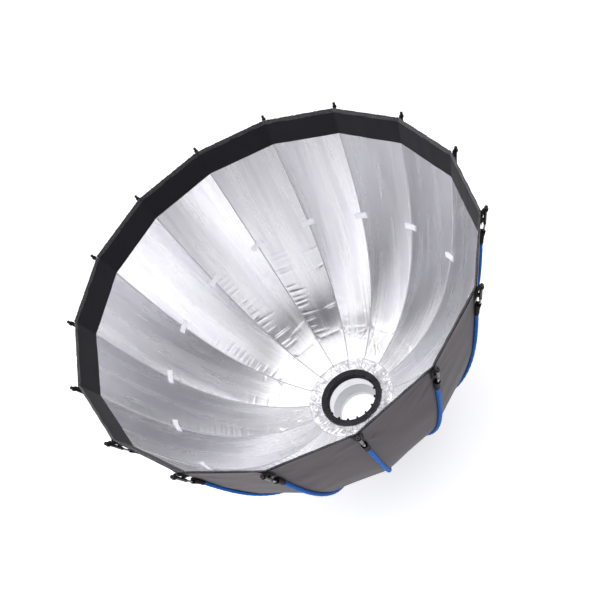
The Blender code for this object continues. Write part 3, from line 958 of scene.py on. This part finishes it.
def drawn_steel(name, colour, roughness, scratch):
    """Drawn steel wire: bright metal with fine lines along it and dull spots from handling."""
    finish, tree, shader = new_finish(name, Metallic=1.0)
    place = add_node(tree, "TexCoord").outputs["Object"]
    # handling marks 4 mm across
    marks = add_node(tree, "TexNoise", [(place, "Vector")], in_Scale=250.0, in_Detail=4.0)
    gloss = add_node(
        tree, "MapRange", [(marks.outputs["Fac"], "Value")], in_3=roughness * 0.75,
        in_4=roughness * 1.4, in_1=0.3, in_2=0.7,
    )
    tree.links.new(gloss.outputs[0], shader.inputs["Roughness"])
    tone = add_node(tree, "ValToRGB", [(marks.outputs["Fac"], "Fac")])
    tone.color_ramp.elements[0].color = linear(scratch)
    tone.color_ramp.elements[0].position = 0.3
    tone.color_ramp.elements[1].color = linear(colour)
    tone.color_ramp.elements[1].position = 0.6
    tree.links.new(tone.outputs["Color"], shader.inputs["Base Color"])
    return finish


wire_steel = drawn_steel("satin_spring_steel", "#9d9ea2", 0.28, "#77787c")
barrel_nickel = drawn_steel("black_nickel_plate", "#474447", 0.22, "#1f1d1f")

wire_rows = np.concatenate(
    [
        np.linspace(distance_at(hinge_radius + 0.0028), spread_start, 70),
        np.linspace(spread_start - 0.002, barrel_bottom, 20),
    ]
)
wire = sewn_tube("wire_01", wire_rows, rod_outline(lambda d: np.full_like(d, wire_radius)))
wire.data.materials.append(wire_steel)
round_copies(wire, "rib", "spring_steel", "rib")


def barrel_profile(distances):
    """The barrel is crimped twice near its lower end, and steps down to the neck at its top."""
    radius = np.full_like(distances, barrel_radius)
    for crimp in (0.029, 0.0262):
        radius -= 0.0005 * np.exp(-(((distances - crimp) / 0.0006) ** 2))
    radius -= 0.0006 * smoothstep((distances - (barrel_bottom - 0.0008)) / 0.0008)
    radius -= 0.0008 * smoothstep((barrel_top + 0.0008 - distances) / 0.0008)
    return radius


barrel_rows = np.concatenate(
    [np.linspace(barrel_bottom, 0.025, 34), np.linspace(0.024, -0.0022, 14),
     np.linspace(-0.0022, barrel_top, 5)[1:]]
)
barrel = sewn_tube("barrel_01", barrel_rows, rod_outline(barrel_profile))
barrel.data.materials.append(barrel_nickel)
round_copies(barrel, "rib", "spring_steel")


def neck_profile(distances):
    past = ball_distance - distances
    ball = np.sqrt(np.maximum(ball_radius**2 - past**2, 0.0003**2))
    collar = 0.0022 + 0.0007 * np.exp(-(((distances + 0.0096) / 0.0004) ** 2))
    return np.where(abs(past) < 0.0028, np.maximum(ball, 0.0002), np.where(past > 0, ball, collar))


neck_rows = np.concatenate(
    [np.linspace(barrel_top, -0.0099, 18),
     ball_distance - ball_radius * np.sin(np.linspace(-0.88, math.pi / 2, 16))]
)
ball_tip = sewn_tube("ball_tip_01", neck_rows, rod_outline(neck_profile))
ball_tip.data.materials.append(barrel_nickel)
round_copies(ball_tip, "rib", "spring_steel")


def turned_piece(name, outline, steps=96, centre=(0, 0, 0), axis=(0, 0, 1), crease=30):
    """A closed outline of (radius, height) points, drawn over +X and spun once round the axis."""
    bpy.ops.object.select_all(action="DESELECT")
    bpy.ops.mesh.primitive_circle_add(vertices=len(outline), radius=0.01)
    made = bpy.context.object
    made.name = made.data.name = name
    for vertex, (radius, height) in zip(made.data.vertices, outline):
        vertex.co = (radius, 0, height)
    bpy.ops.object.mode_set(mode="EDIT")
    bpy.ops.mesh.select_all(action="SELECT")
    bpy.ops.mesh.spin(steps=steps, angle=2 * math.pi, center=centre, axis=axis)
    bpy.ops.mesh.select_all(action="SELECT")
    bpy.ops.mesh.remove_doubles(threshold=0.00001)
    bpy.ops.mesh.normals_make_consistent(inside=False)
    bpy.ops.object.mode_set(mode="OBJECT")
    made.select_set(True)
    bpy.ops.object.shade_smooth_by_angle(angle=math.radians(crease))
    return made


def rounded(outline, radius=0.0004, steps=3):
    """The outline with each corner rounded off by that radius, or less on a short side."""
    points = [Vector(p) for p in outline]
    made = []
    for k, corner in enumerate(points):
        before, after = points[k - 1], points[(k + 1) % len(points)]
        cut = min(radius, (before - corner).length * 0.45, (after - corner).length * 0.45)
        first = corner + (before - corner).normalized() * cut
        last = corner + (after - corner).normalized() * cut
        for step in range(steps + 1):
            t = step / steps
            made.append(first * (1 - t) ** 2 + corner * 2 * t * (1 - t) + last * t**2)
    return [tuple(p) for p in made]


def place_piece(piece, matrix):
    piece.data.transform(matrix)
    piece.location, piece.rotation_euler = (0, 0, 0), (0, 0, 0)


# Hinge eyes. The root end of each rib is flattened and drilled, and turns on the hinge wire that
# runs round the hub.

eye = turned_piece(
    "hinge_eye_01",
    rounded([(0.0018, -0.0025), (0.0034, -0.0025), (0.0034, 0.0025), (0.0018, 0.0025)], 0.0005),
    steps=28,
)
place_piece(
    eye,
    Matrix.Translation((hinge_radius, 0, hinge_height)) @ Matrix.Rotation(math.pi / 2, 4, "X"),
)
eye.data.materials.append(wire_steel)
round_copies(eye, "rib", "spring_steel")


# Tip clips. A moulded nylon clip on each rib's end: a base plate sewn through a trapezoid of black
# tape on the rim, an open fin that stands on it, and an eye that snaps round the rib's neck.


def moulded_black(name, dark, light, roughness):
    """Glass-filled nylon: near-black satin plastic with a fine moulded grain."""
    finish, tree, shader = new_finish(name, Roughness=roughness, Specular_IOR_Level=0.2)
    place = add_node(tree, "TexCoord").outputs["Object"]
    # moulded grain 0.8 mm across
    spark = add_node(tree, "TexNoise", [(place, "Vector")], in_Scale=1250.0, in_Detail=2.0)
    cloud = add_node(tree, "TexNoise", [(place, "Vector")], in_Scale=55.0, in_Detail=3.0)
    tone = add_node(tree, "ValToRGB", [(cloud.outputs["Fac"], "Fac")])
    tone.color_ramp.elements[0].position = 0.3
    tone.color_ramp.elements[0].color = linear(dark)
    tone.color_ramp.elements[1].position = 0.7
    tone.color_ramp.elements[1].color = linear(light)
    tree.links.new(tone.outputs["Color"], shader.inputs["Base Color"])
    bump = add_node(
        tree, "Bump", [(spark.outputs["Fac"], "Height")], in_Strength=0.25, in_Distance=0.0003
    )
    tree.links.new(bump.outputs[0], shader.inputs["Normal"])
    return finish


clip_nylon = moulded_black("black_glass_filled_nylon", "#060607", "#0d0d0f", 0.5)
clip_out, clip_up = (float(part) for part in on_seam(0.0)[2:])
clip_frame = Matrix(
    (
        (clip_up, 0, clip_out, rim_radius),
        (0, -1, 0, 0),
        (-clip_out, 0, clip_up, rim_height),
        (0, 0, 0, 1),
    )
)


def rib_slab(name, outline, width, bevel):
    """A plate in the rib's plane. outline holds (distance from the rim, offset outward) points."""
    bpy.ops.object.select_all(action="DESELECT")
    bpy.ops.mesh.primitive_circle_add(vertices=len(outline), radius=0.01, fill_type="NGON")
    made = bpy.context.object
    made.name = made.data.name = name
    for vertex, (distance, offset) in zip(made.data.vertices, outline):
        vertex.co = on_rib(distance, offset, -width / 2)
    bpy.ops.object.mode_set(mode="EDIT")
    bpy.ops.mesh.select_all(action="SELECT")
    bpy.ops.mesh.extrude_region_move(TRANSFORM_OT_translate={"value": (0, width, 0)})
    bpy.ops.mesh.select_all(action="SELECT")
    bpy.ops.mesh.normals_make_consistent(inside=False)
    bpy.ops.object.mode_set(mode="OBJECT")
    soften(made, bevel)
    return made


def soften(piece, width, segments=2):
    edges = piece.modifiers.new("edges", "BEVEL")
    edges.width, edges.segments, edges.limit_method = width, segments, "ANGLE"
    bpy.ops.object.select_all(action="DESELECT")
    bpy.context.view_layer.objects.active = piece
    piece.select_set(True)
    bpy.ops.object.modifier_apply(modifier="edges")
    bpy.ops.object.shade_smooth_by_angle(angle=math.radians(35))


def joined(name, pieces):
    """Several closed parts of one moulding, as one piece."""
    bpy.ops.object.select_all(action="DESELECT")
    for piece in pieces:
        piece.select_set(True)
    bpy.context.view_layer.objects.active = pieces[0]
    bpy.ops.object.join()
    pieces[0].name = pieces[0].data.name = name
    return pieces[0]


plate = rib_slab(
    "clip_plate",
    [
        (0.030, 0.0030), (0.016, 0.0030), (-0.001, 0.0030), (-0.001, 0.0043), (0.016, 0.0043),
        (0.030, 0.0043),
    ],
    0.0100, 0.0005,
)
fin_foot = rib_slab(
    "clip_fin_foot",
    [
        (0.026, 0.0038), (-0.006, 0.0038), (-0.0088, 0.0050), (-0.0088, 0.0062), (-0.002, 0.0056),
        (0.024, 0.0054),
    ],
    0.0032, 0.0004,
)
fin_brace = rib_slab(
    "clip_fin_brace",
    [(0.024, 0.0044), (0.015, 0.0044), (-0.0036, 0.0064), (-0.0036, 0.0086)], 0.0032, 0.0004,
)
fin_post = rib_slab(
    "clip_fin_post", [(-0.0036, 0.0046), (-0.0088, 0.0056), (-0.0088, 0.0084), (-0.0036, 0.0080)],
    0.0036, 0.0004,
)
fin_heel = rib_slab(
    "clip_fin_heel", [(0.0295, 0.0040), (0.018, 0.0040), (0.0175, 0.0084), (0.0225, 0.0090)],
    0.0052, 0.0005,
)
clip_eye = turned_piece(
    "clip_eye",
    rounded([(0.00235, -0.0088), (0.0046, -0.0088), (0.0046, -0.0036), (0.00235, -0.0036)], 0.0006),
    steps=32,
)
place_piece(
    clip_eye,
    clip_frame @ Matrix.Translation((0, 0, tip_offset)) @ Matrix.Rotation(math.pi / 2, 4, "Y"),
)
clip = joined("clip_01", [plate, fin_foot, fin_brace, fin_post, fin_heel, clip_eye])
clip.data.materials.append(clip_nylon)
round_copies(clip, "rib", "black_plastic", "tip_clip")

# the rivet that closes the clip on the tape
rivet = turned_piece(
    "clip_rivet_01",
    [(0.0, 0.0), (0.0019, 0.0), (0.0019, 0.0004), (0.0015, 0.0009), (0.0008, 0.0012), (0.0, 0.0013)],
    steps=20,
)
place_piece(rivet, clip_frame @ Matrix.Translation((0.0115, 0.0036, 0.0042)))
rivet.data.materials.append(barrel_nickel)
round_copies(rivet, "rib", "zinc_steel")


patch_narrow, patch_wide, patch_length = 0.0156, 0.0218, 0.0372
patch_past_rim = 0.0012


def patch_mesh():
    """The trapezoid of tape under the clip, wider at the rim, that wraps over the rim's edge."""
    rows, columns = 26, 15
    distances = np.linspace(patch_length - patch_past_rim, -patch_past_rim, rows)
    share, distance = np.meshgrid(np.linspace(-1, 1, columns), distances)
    widen = (patch_length - patch_past_rim - distance) / patch_length
    half = (patch_narrow + (patch_wide - patch_narrow) * widen) / 2
    side = share * half
    # the shell falls away on both sides of the rib
    drop = abs(side) * math.tan(half_pitch)
    swell = 0.0004 * (1 - abs(share) ** 6)
    offset = 0.0018 - drop + swell
    outer = on_rib(distance, offset + 0.0009, side)
    inner = on_rib(distance, offset, side)
    return cloth_mesh("clip_patch_01", outer, inner, side, distance)


patch = patch_mesh()
patch.data.materials.append(black_tape)
for number, patch in enumerate(round_copies(patch, "rib", "black_webbing"), 1):
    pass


# Throat collar. A gathered ring of the same silver cloth, in sixteen sectors seamed over the ribs.
# Its inner edge is clamped under the front ring, and its outer hem is sewn down to the gores.


def crumpled_silver():
    """Silver-coated nylon that has been gathered and handled: satin, with dull crease marks."""
    finish, tree, shader = new_finish("crumpled_silver_nylon", Metallic=0.9, Roughness=0.24)
    place = add_node(tree, "UVMap", uv_map="UVMap").outputs["UV"]
    # crease cells 9 mm across
    creases = add_node(
        tree, "TexVoronoi", [(place, "Vector")], feature="DISTANCE_TO_EDGE", in_Scale=110.0
    )
    dull = add_node(tree, "TexNoise", [(place, "Vector")], in_Scale=70.0, in_Detail=5.0)
    tone = add_node(tree, "ValToRGB", [(dull.outputs["Fac"], "Fac")])
    tone.color_ramp.elements[0].position = 0.35
    tone.color_ramp.elements[0].color = linear("#bdbcc1")
    tone.color_ramp.elements[1].position = 0.6
    tone.color_ramp.elements[1].color = linear("#e9e9ec")
    tree.links.new(tone.outputs["Color"], shader.inputs["Base Color"])
    bump = add_node(
        tree, "Bump", [(creases.outputs["Distance"], "Height")], in_Strength=0.22, in_Distance=0.0012
    )
    tree.links.new(bump.outputs[0], shader.inputs["Normal"])
    return finish


collar_inner, collar_outer = 0.0752, 0.1095
collar_height = 0.0767


def collar_mesh(number):
    rng = np.random.default_rng(700 + number)
    rows, columns = 40, 61
    run, share = np.meshgrid(np.linspace(0, 1, rows), np.linspace(-1, 1, columns), indexing="ij")
    radius = collar_inner + (collar_outer - collar_inner) * run
    angle = share * half_pitch
    # straight hem between the seams, standing up near its edge and rolled back to the gores
    radius = radius * (1 - run * (1 - math.cos(half_pitch) / np.cos(half_pitch - abs(angle))))
    height = collar_height + 0.0052 * np.sin(math.pi * np.clip(run * 0.62, 0, 1)) ** 1.2
    height = height - 0.0066 * smoothstep((run - 0.86) / 0.14)
    across = radius * angle
    pleat = 0.0
    lean = rng.choice([-1, 1]) * rng.uniform(0.3, 0.9)
    for _ in range(5):
        middle, slant = rng.uniform(-0.014, 0.014), lean * rng.uniform(0.8, 1.2)
        width = rng.uniform(0.0014, 0.0030)
        rise = rng.choice([-1, 1]) * rng.uniform(0.5, 1.1) * 0.001
        place = across - middle - slant * (radius - collar_inner)
        fade = np.sin(math.pi * np.clip(run, 0.05, 0.95))
        pleat = pleat + rise * np.exp(-((place / width) ** 2)) * fade
    for _ in range(3):
        middle, width = rng.uniform(0.2, 0.8), rng.uniform(0.03, 0.06)
        fold = np.exp(-(((run - middle - 0.2 * share) / width) ** 2))
        pleat = pleat + 0.00035 * rng.choice([-1, 1]) * fold
    edge = smoothstep((1 - abs(share)) / 0.12)
    ridge = 0.0013 * np.exp(-((across / 0.0009) ** 2)) * np.clip(4 * run, 0, 1)
    height = height + np.maximum(pleat * edge, -0.0010) + ridge
    turn = (number - 1) * pitch + angle
    top = np.stack([radius * np.cos(turn), radius * np.sin(turn), height], -1)
    under = top - np.array([0, 0, 0.0004])
    return cloth_mesh(f"collar_{number:02d}", top[::-1], under[::-1], across, radius + number)


collar_silver = crumpled_silver()
for number in range(1, ribs + 1):
    collar = collar_mesh(number)
    collar.data.materials.append(collar_silver)
    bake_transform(collar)
    if number == 1:
        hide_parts("throat_collar")


# Front ring. A turned black cover, screwed down over the collar and the latch plate, with two
# fine grooves in its face and a rolled inner edge.


def fixed(piece, slot, *nodes):
    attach(piece, "root")
    for node in nodes:
        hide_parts(node)


hub_steps = 120
hub_nylon = moulded_black("black_satin_nylon", "#232228", "#34333a", 0.34)
front = turned_piece(
    "front_cover",
    rounded(
        [
            (0.0608, 0.0760), (0.0748, 0.0760), (0.0748, 0.0792), (0.0740, 0.0800),
            (0.0700, 0.0800), (0.0697, 0.0794), (0.0691, 0.0794), (0.0688, 0.0800),
            (0.0668, 0.0799), (0.0662, 0.0784), (0.0640, 0.0783), (0.0637, 0.0778),
            (0.0631, 0.0778), (0.0628, 0.0783), (0.0614, 0.0782), (0.0608, 0.0776),
        ],
        0.0003,
    ),
    steps=hub_steps,
)
front.data.materials.append(hub_nylon)
fixed(front, "black_plastic", "front_ring")


# Latch plate. One stamped ring under the cover, whose sixteen square fingers reach into the bore
# and hold the ribs open when the hub is pushed home.

finger_radius, finger_height = 0.0590, 0.0766


def copies_round(piece, count, start=0.0):
    """Copies of a piece, each with its own mesh, evenly round the hub's axis. The first goes."""
    made = []
    for k in range(count):
        mesh = piece.data.copy()
        mesh.transform(Matrix.Rotation(start + k * 2 * math.pi / count, 4, "Z"))
        made.append(bpy.data.objects.new(mesh.name, mesh))
        scene.collection.objects.link(made[-1])
    bpy.data.objects.remove(piece, do_unlink=True)
    return made


def block(size):
    """A block of that size on the origin, to be shaped and placed."""
    bpy.ops.object.select_all(action="DESELECT")
    bpy.ops.mesh.primitive_cube_add(size=1, scale=size)
    bpy.ops.object.transform_apply(location=False, rotation=False, scale=True)
    return bpy.context.object


latch = turned_piece(
    "latch_band",
    rounded([(0.0606, 0.0745), (0.0735, 0.0745), (0.0735, 0.0757), (0.0606, 0.0757)], 0.0002),
    steps=hub_steps,
)
finger = block((0.0042, 0.0044, 0.0046))
soften(finger, 0.0003)
place_piece(finger, Matrix.Translation((finger_radius, 0, finger_height)))
latch = joined("latch_plate", [latch, *copies_round(finger, ribs, half_pitch)])
latch_nylon = moulded_black("black_latch_nylon", "#0b0a0c", "#141316", 0.5)
latch.data.materials.append(latch_nylon)
fixed(latch, "black_plastic", "latch_ring")


# Hub housing. A black moulding that carries the hinge wire in a channel cut by sixteen slots, one
# for each rib. Its bore shows above the white tube, with two turned grooves.

housing = turned_piece(
    "housing",
    rounded(
        [
            (0.0598, 0.0123), (0.0700, 0.0123), (0.0720, 0.0143), (0.0720, 0.0400),
            (0.0890, 0.0560), (0.0890, 0.0610), (0.0884, 0.0616), (0.0884, 0.0640),
            (0.0890, 0.0646), (0.0890, 0.0715), (0.0855, 0.0715), (0.0855, 0.0676),
            (0.0765, 0.0676), (0.0765, 0.0742), (0.0600, 0.0742), (0.0600, 0.0716),
            (0.0604, 0.0714), (0.0604, 0.0704), (0.0600, 0.0702), (0.0600, 0.0663),
            (0.0590, 0.0653), (0.0590, 0.0623), (0.0598, 0.0623),
        ],
        0.0004, 2,
    ),
    steps=160,
)
slot = block((0.0190, 0.0064, 0.0150))
place_piece(slot, Matrix.Translation((0.0768 + 0.0095, 0, 0.0655 + 0.0075)))
cutter = joined("slot_cutter", copies_round(slot, ribs))
cut = housing.modifiers.new("slots", "BOOLEAN")
cut.operation, cut.solver, cut.object = "DIFFERENCE", "EXACT", cutter
bpy.ops.object.select_all(action="DESELECT")
bpy.context.view_layer.objects.active = housing
housing.select_set(True)
bpy.ops.object.modifier_apply(modifier="slots")
bpy.data.objects.remove(cutter, do_unlink=True)
bpy.ops.object.shade_smooth_by_angle(angle=math.radians(30))
# a web under each gap between two slots, cut back to a slant towards its foot
web = block((0.0150, 0.0022, 0.0300))
for vertex in web.data.vertices:
    if vertex.co.x > 0 and vertex.co.z < 0:
        vertex.co.x = -0.0060
soften(web, 0.0005)
place_piece(web, Matrix.Translation((0.0785, 0, 0.0430)))
housing = joined("housing", [housing, *copies_round(web, ribs, half_pitch)])
housing.data.materials.append(latch_nylon)
fixed(housing, "black_plastic", "hub_housing")


# Inner tube. A white moulded sleeve that lines the bore, with a doubled rim. It sits on a moulded
# step of the same white plastic, which narrows on to the bayonet ring. The step is drawn grey and
# with a weaker glow: that grey is painted shade.


def moulded_abs(name, dark, light, glow):
    """Smooth moulded ABS with a faint flow mottle. The weak glow isn't the plastic's own: it only
    lifts the bore to its brightness in the studio."""
    finish, tree, shader = new_finish(
        name, Roughness=0.32, Coat_Weight=0.15, Emission_Color=(0.97, 0.96, 1.0, 1),
        Emission_Strength=glow,
    )
    place = add_node(tree, "TexCoord").outputs["Object"]
    # flow marks 20 mm long
    flow = add_node(tree, "TexNoise", [(place, "Vector")], in_Scale=50.0, in_Detail=3.0)
    tone = add_node(tree, "ValToRGB", [(flow.outputs["Fac"], "Fac")])
    tone.color_ramp.elements[0].color = linear(dark)
    tone.color_ramp.elements[0].position = 0.25
    tone.color_ramp.elements[1].color = linear(light)
    tree.links.new(tone.outputs["Color"], shader.inputs["Base Color"])
    grain = add_node(tree, "TexNoise", [(place, "Vector")], in_Scale=900.0)
    bump = add_node(
        tree, "Bump", [(grain.outputs["Fac"], "Height")], in_Strength=0.08, in_Distance=0.0002
    )
    tree.links.new(bump.outputs[0], shader.inputs["Normal"])
    return finish


tube = turned_piece(
    "bore_tube",
    rounded(
        [
            (0.0580, 0.0362), (0.0595, 0.0362), (0.0595, 0.0620), (0.0588, 0.0620),
            (0.0586, 0.0608), (0.0580, 0.0608), (0.0578, 0.0620), (0.0568, 0.0618),
            (0.0568, 0.0592), (0.0580, 0.0580),
        ],
        0.0003,
    ),
    steps=hub_steps,
)
tube.data.materials.append(moulded_abs("white_moulded_abs", "#e6e6ec", "#f4f4f7", 0.25))
fixed(tube, "white_plastic", "inner_tube")
step = turned_piece(
    "bore_step",
    rounded(
        [
            (0.0505, 0.0123), (0.0595, 0.0123), (0.0595, 0.0361), (0.0572, 0.0361),
            (0.0566, 0.0352), (0.0514, 0.0170), (0.0505, 0.0150),
        ],
        0.0003,
    ),
    steps=hub_steps,
)
# the step's grey colour and weaker glow are painted shade on the tube's white plastic
step.data.materials.append(moulded_abs("grey_moulded_abs", "#c6c6ca", "#d2d2d6", 0.03))
fixed(step, "white_plastic")


# Bayonet ring. A flanged ring turned from aluminium and bead-blasted, with three lugs that lock it
# into the light's mount.


def turned_aluminium():
    """Bead-blasted aluminium, turned bright on its faces: fine rings round the axis."""
    finish, tree, shader = new_finish("turned_aluminium", Metallic=1.0)
    place = add_node(tree, "TexCoord").outputs["Object"]
    # tool rings 0.9 mm apart, coarser than the real feed so that they show
    rings = add_node(
        tree, "TexWave", [(place, "Vector")], wave_type="RINGS", rings_direction="Z",
        in_Scale=350.0, in_Distortion=0.3,
    )
    dull = add_node(tree, "TexNoise", [(place, "Vector")], in_Scale=120.0, in_Detail=4.0)
    tone = add_node(tree, "ValToRGB", [(dull.outputs["Fac"], "Fac")])
    tone.color_ramp.elements[0].color = linear("#b9babd")
    tone.color_ramp.elements[1].color = linear("#dcdddf")
    tree.links.new(tone.outputs["Color"], shader.inputs["Base Color"])
    gloss = add_node(
        tree, "MapRange", [(dull.outputs["Fac"], "Value")], in_3=0.26, in_4=0.42, in_1=0.3, in_2=0.7
    )
    tree.links.new(gloss.outputs[0], shader.inputs["Roughness"])
    bump = add_node(
        tree, "Bump", [(rings.outputs["Fac"], "Height")], in_Strength=0.15, in_Distance=0.0001
    )
    tree.links.new(bump.outputs[0], shader.inputs["Normal"])
    return finish


bayonet = turned_piece(
    "bayonet",
    rounded(
        [
            (0.0500, 0.0), (0.0535, 0.0), (0.0535, 0.0080), (0.0680, 0.0080), (0.0680, 0.0120),
            (0.0500, 0.0120),
        ],
        0.0004,
    ),
    steps=hub_steps,
)
# a lug's section is drawn at one end of its arc and spun along it
lug_arc = math.radians(40)
bpy.ops.object.select_all(action="DESELECT")
bpy.ops.mesh.primitive_plane_add(size=1)
lug = bpy.context.object
lug_section = [(0.0520, 0.0), (0.0590, 0.0), (0.0520, 0.0030), (0.0590, 0.0030)]
for vertex, (radius, height) in zip(lug.data.vertices, lug_section):
    vertex.co = (radius * math.cos(-lug_arc / 2), radius * math.sin(-lug_arc / 2), height)
bpy.ops.object.mode_set(mode="EDIT")
bpy.ops.mesh.select_all(action="SELECT")
bpy.ops.mesh.spin(steps=16, angle=lug_arc, center=(0, 0, 0), axis=(0, 0, 1))
bpy.ops.mesh.select_all(action="SELECT")
bpy.ops.mesh.normals_make_consistent(inside=False)
bpy.ops.object.mode_set(mode="OBJECT")
soften(lug, 0.0004)
bayonet = joined("bayonet", [bayonet, *copies_round(lug, 3)])
aluminium = turned_aluminium()
bayonet.data.materials.append(aluminium)
fixed(bayonet, "aluminium", "bayonet_ring")


# Hinge wire. One ring of spring-steel wire lies in the housing's channel and carries the sixteen
# eyes. A pressed ferrule closes it.

bpy.ops.object.select_all(action="DESELECT")
bpy.ops.mesh.primitive_torus_add(
    major_radius=hinge_radius, minor_radius=0.0013, major_segments=128, minor_segments=12,
    location=(0, 0, hinge_height),
)
hinge = bpy.context.object
bpy.ops.object.transform_apply()
bpy.ops.object.shade_smooth()
ferrule = turned_piece(
    "ferrule", rounded([(0.0, -0.004), (0.0019, -0.004), (0.0019, 0.004), (0.0, 0.004)], 0.0005),
    steps=20,
)
place_piece(
    ferrule,
    Matrix.Rotation(half_pitch, 4, "Z")
    @ Matrix.Translation((hinge_radius, 0, hinge_height))
    @ Matrix.Rotation(math.pi / 2, 4, "X"),
)
hinge = joined("hinge_loop", [hinge, ferrule])
hinge.data.materials.append(wire_steel)
fixed(hinge, "spring_steel", "hinge_wire")


# Hub screws. Four zinc-plated steel cap screws with hexagon sockets hold the bayonet ring to the
# housing.

screw_circle, screw_count = 0.0645, 4
zinc = drawn_steel("zinc_plate", "#c6c7ca", 0.3, "#9c9ea3")
cap = turned_piece(
    "cap",
    rounded(
        [
            (0.0, 0.0055), (0.0030, 0.0055), (0.0030, 0.0077), (0.0015, 0.0077), (0.0015, 0.022),
            (0.0, 0.022),
        ],
        0.0003,
    ),
    steps=36,
)
bpy.ops.object.select_all(action="DESELECT")
bpy.ops.mesh.primitive_cylinder_add(vertices=6, radius=0.0014, depth=0.0030, location=(0, 0, 0.0055))
socket = bpy.context.object
cut = cap.modifiers.new("socket", "BOOLEAN")
cut.operation, cut.solver, cut.object = "DIFFERENCE", "EXACT", socket
bpy.ops.object.select_all(action="DESELECT")
bpy.context.view_layer.objects.active = cap
cap.select_set(True)
bpy.ops.object.modifier_apply(modifier="socket")
bpy.data.objects.remove(socket, do_unlink=True)
for k in range(screw_count):
    turn = math.radians(45) + k * 2 * math.pi / screw_count
    mesh = cap.data.copy()
    mesh.name = f"cap_screw_{k + 1}"
    mesh.transform(
        Matrix.Translation((screw_circle * math.cos(turn), screw_circle * math.sin(turn), 0))
    )
    screw = bpy.data.objects.new(mesh.name, mesh)
    scene.collection.objects.link(screw)
    screw.data.materials.append(zinc)
    fixed(screw, "zinc_steel", f"hub_screw_{k + 1}")
bpy.data.objects.remove(cap, do_unlink=True)
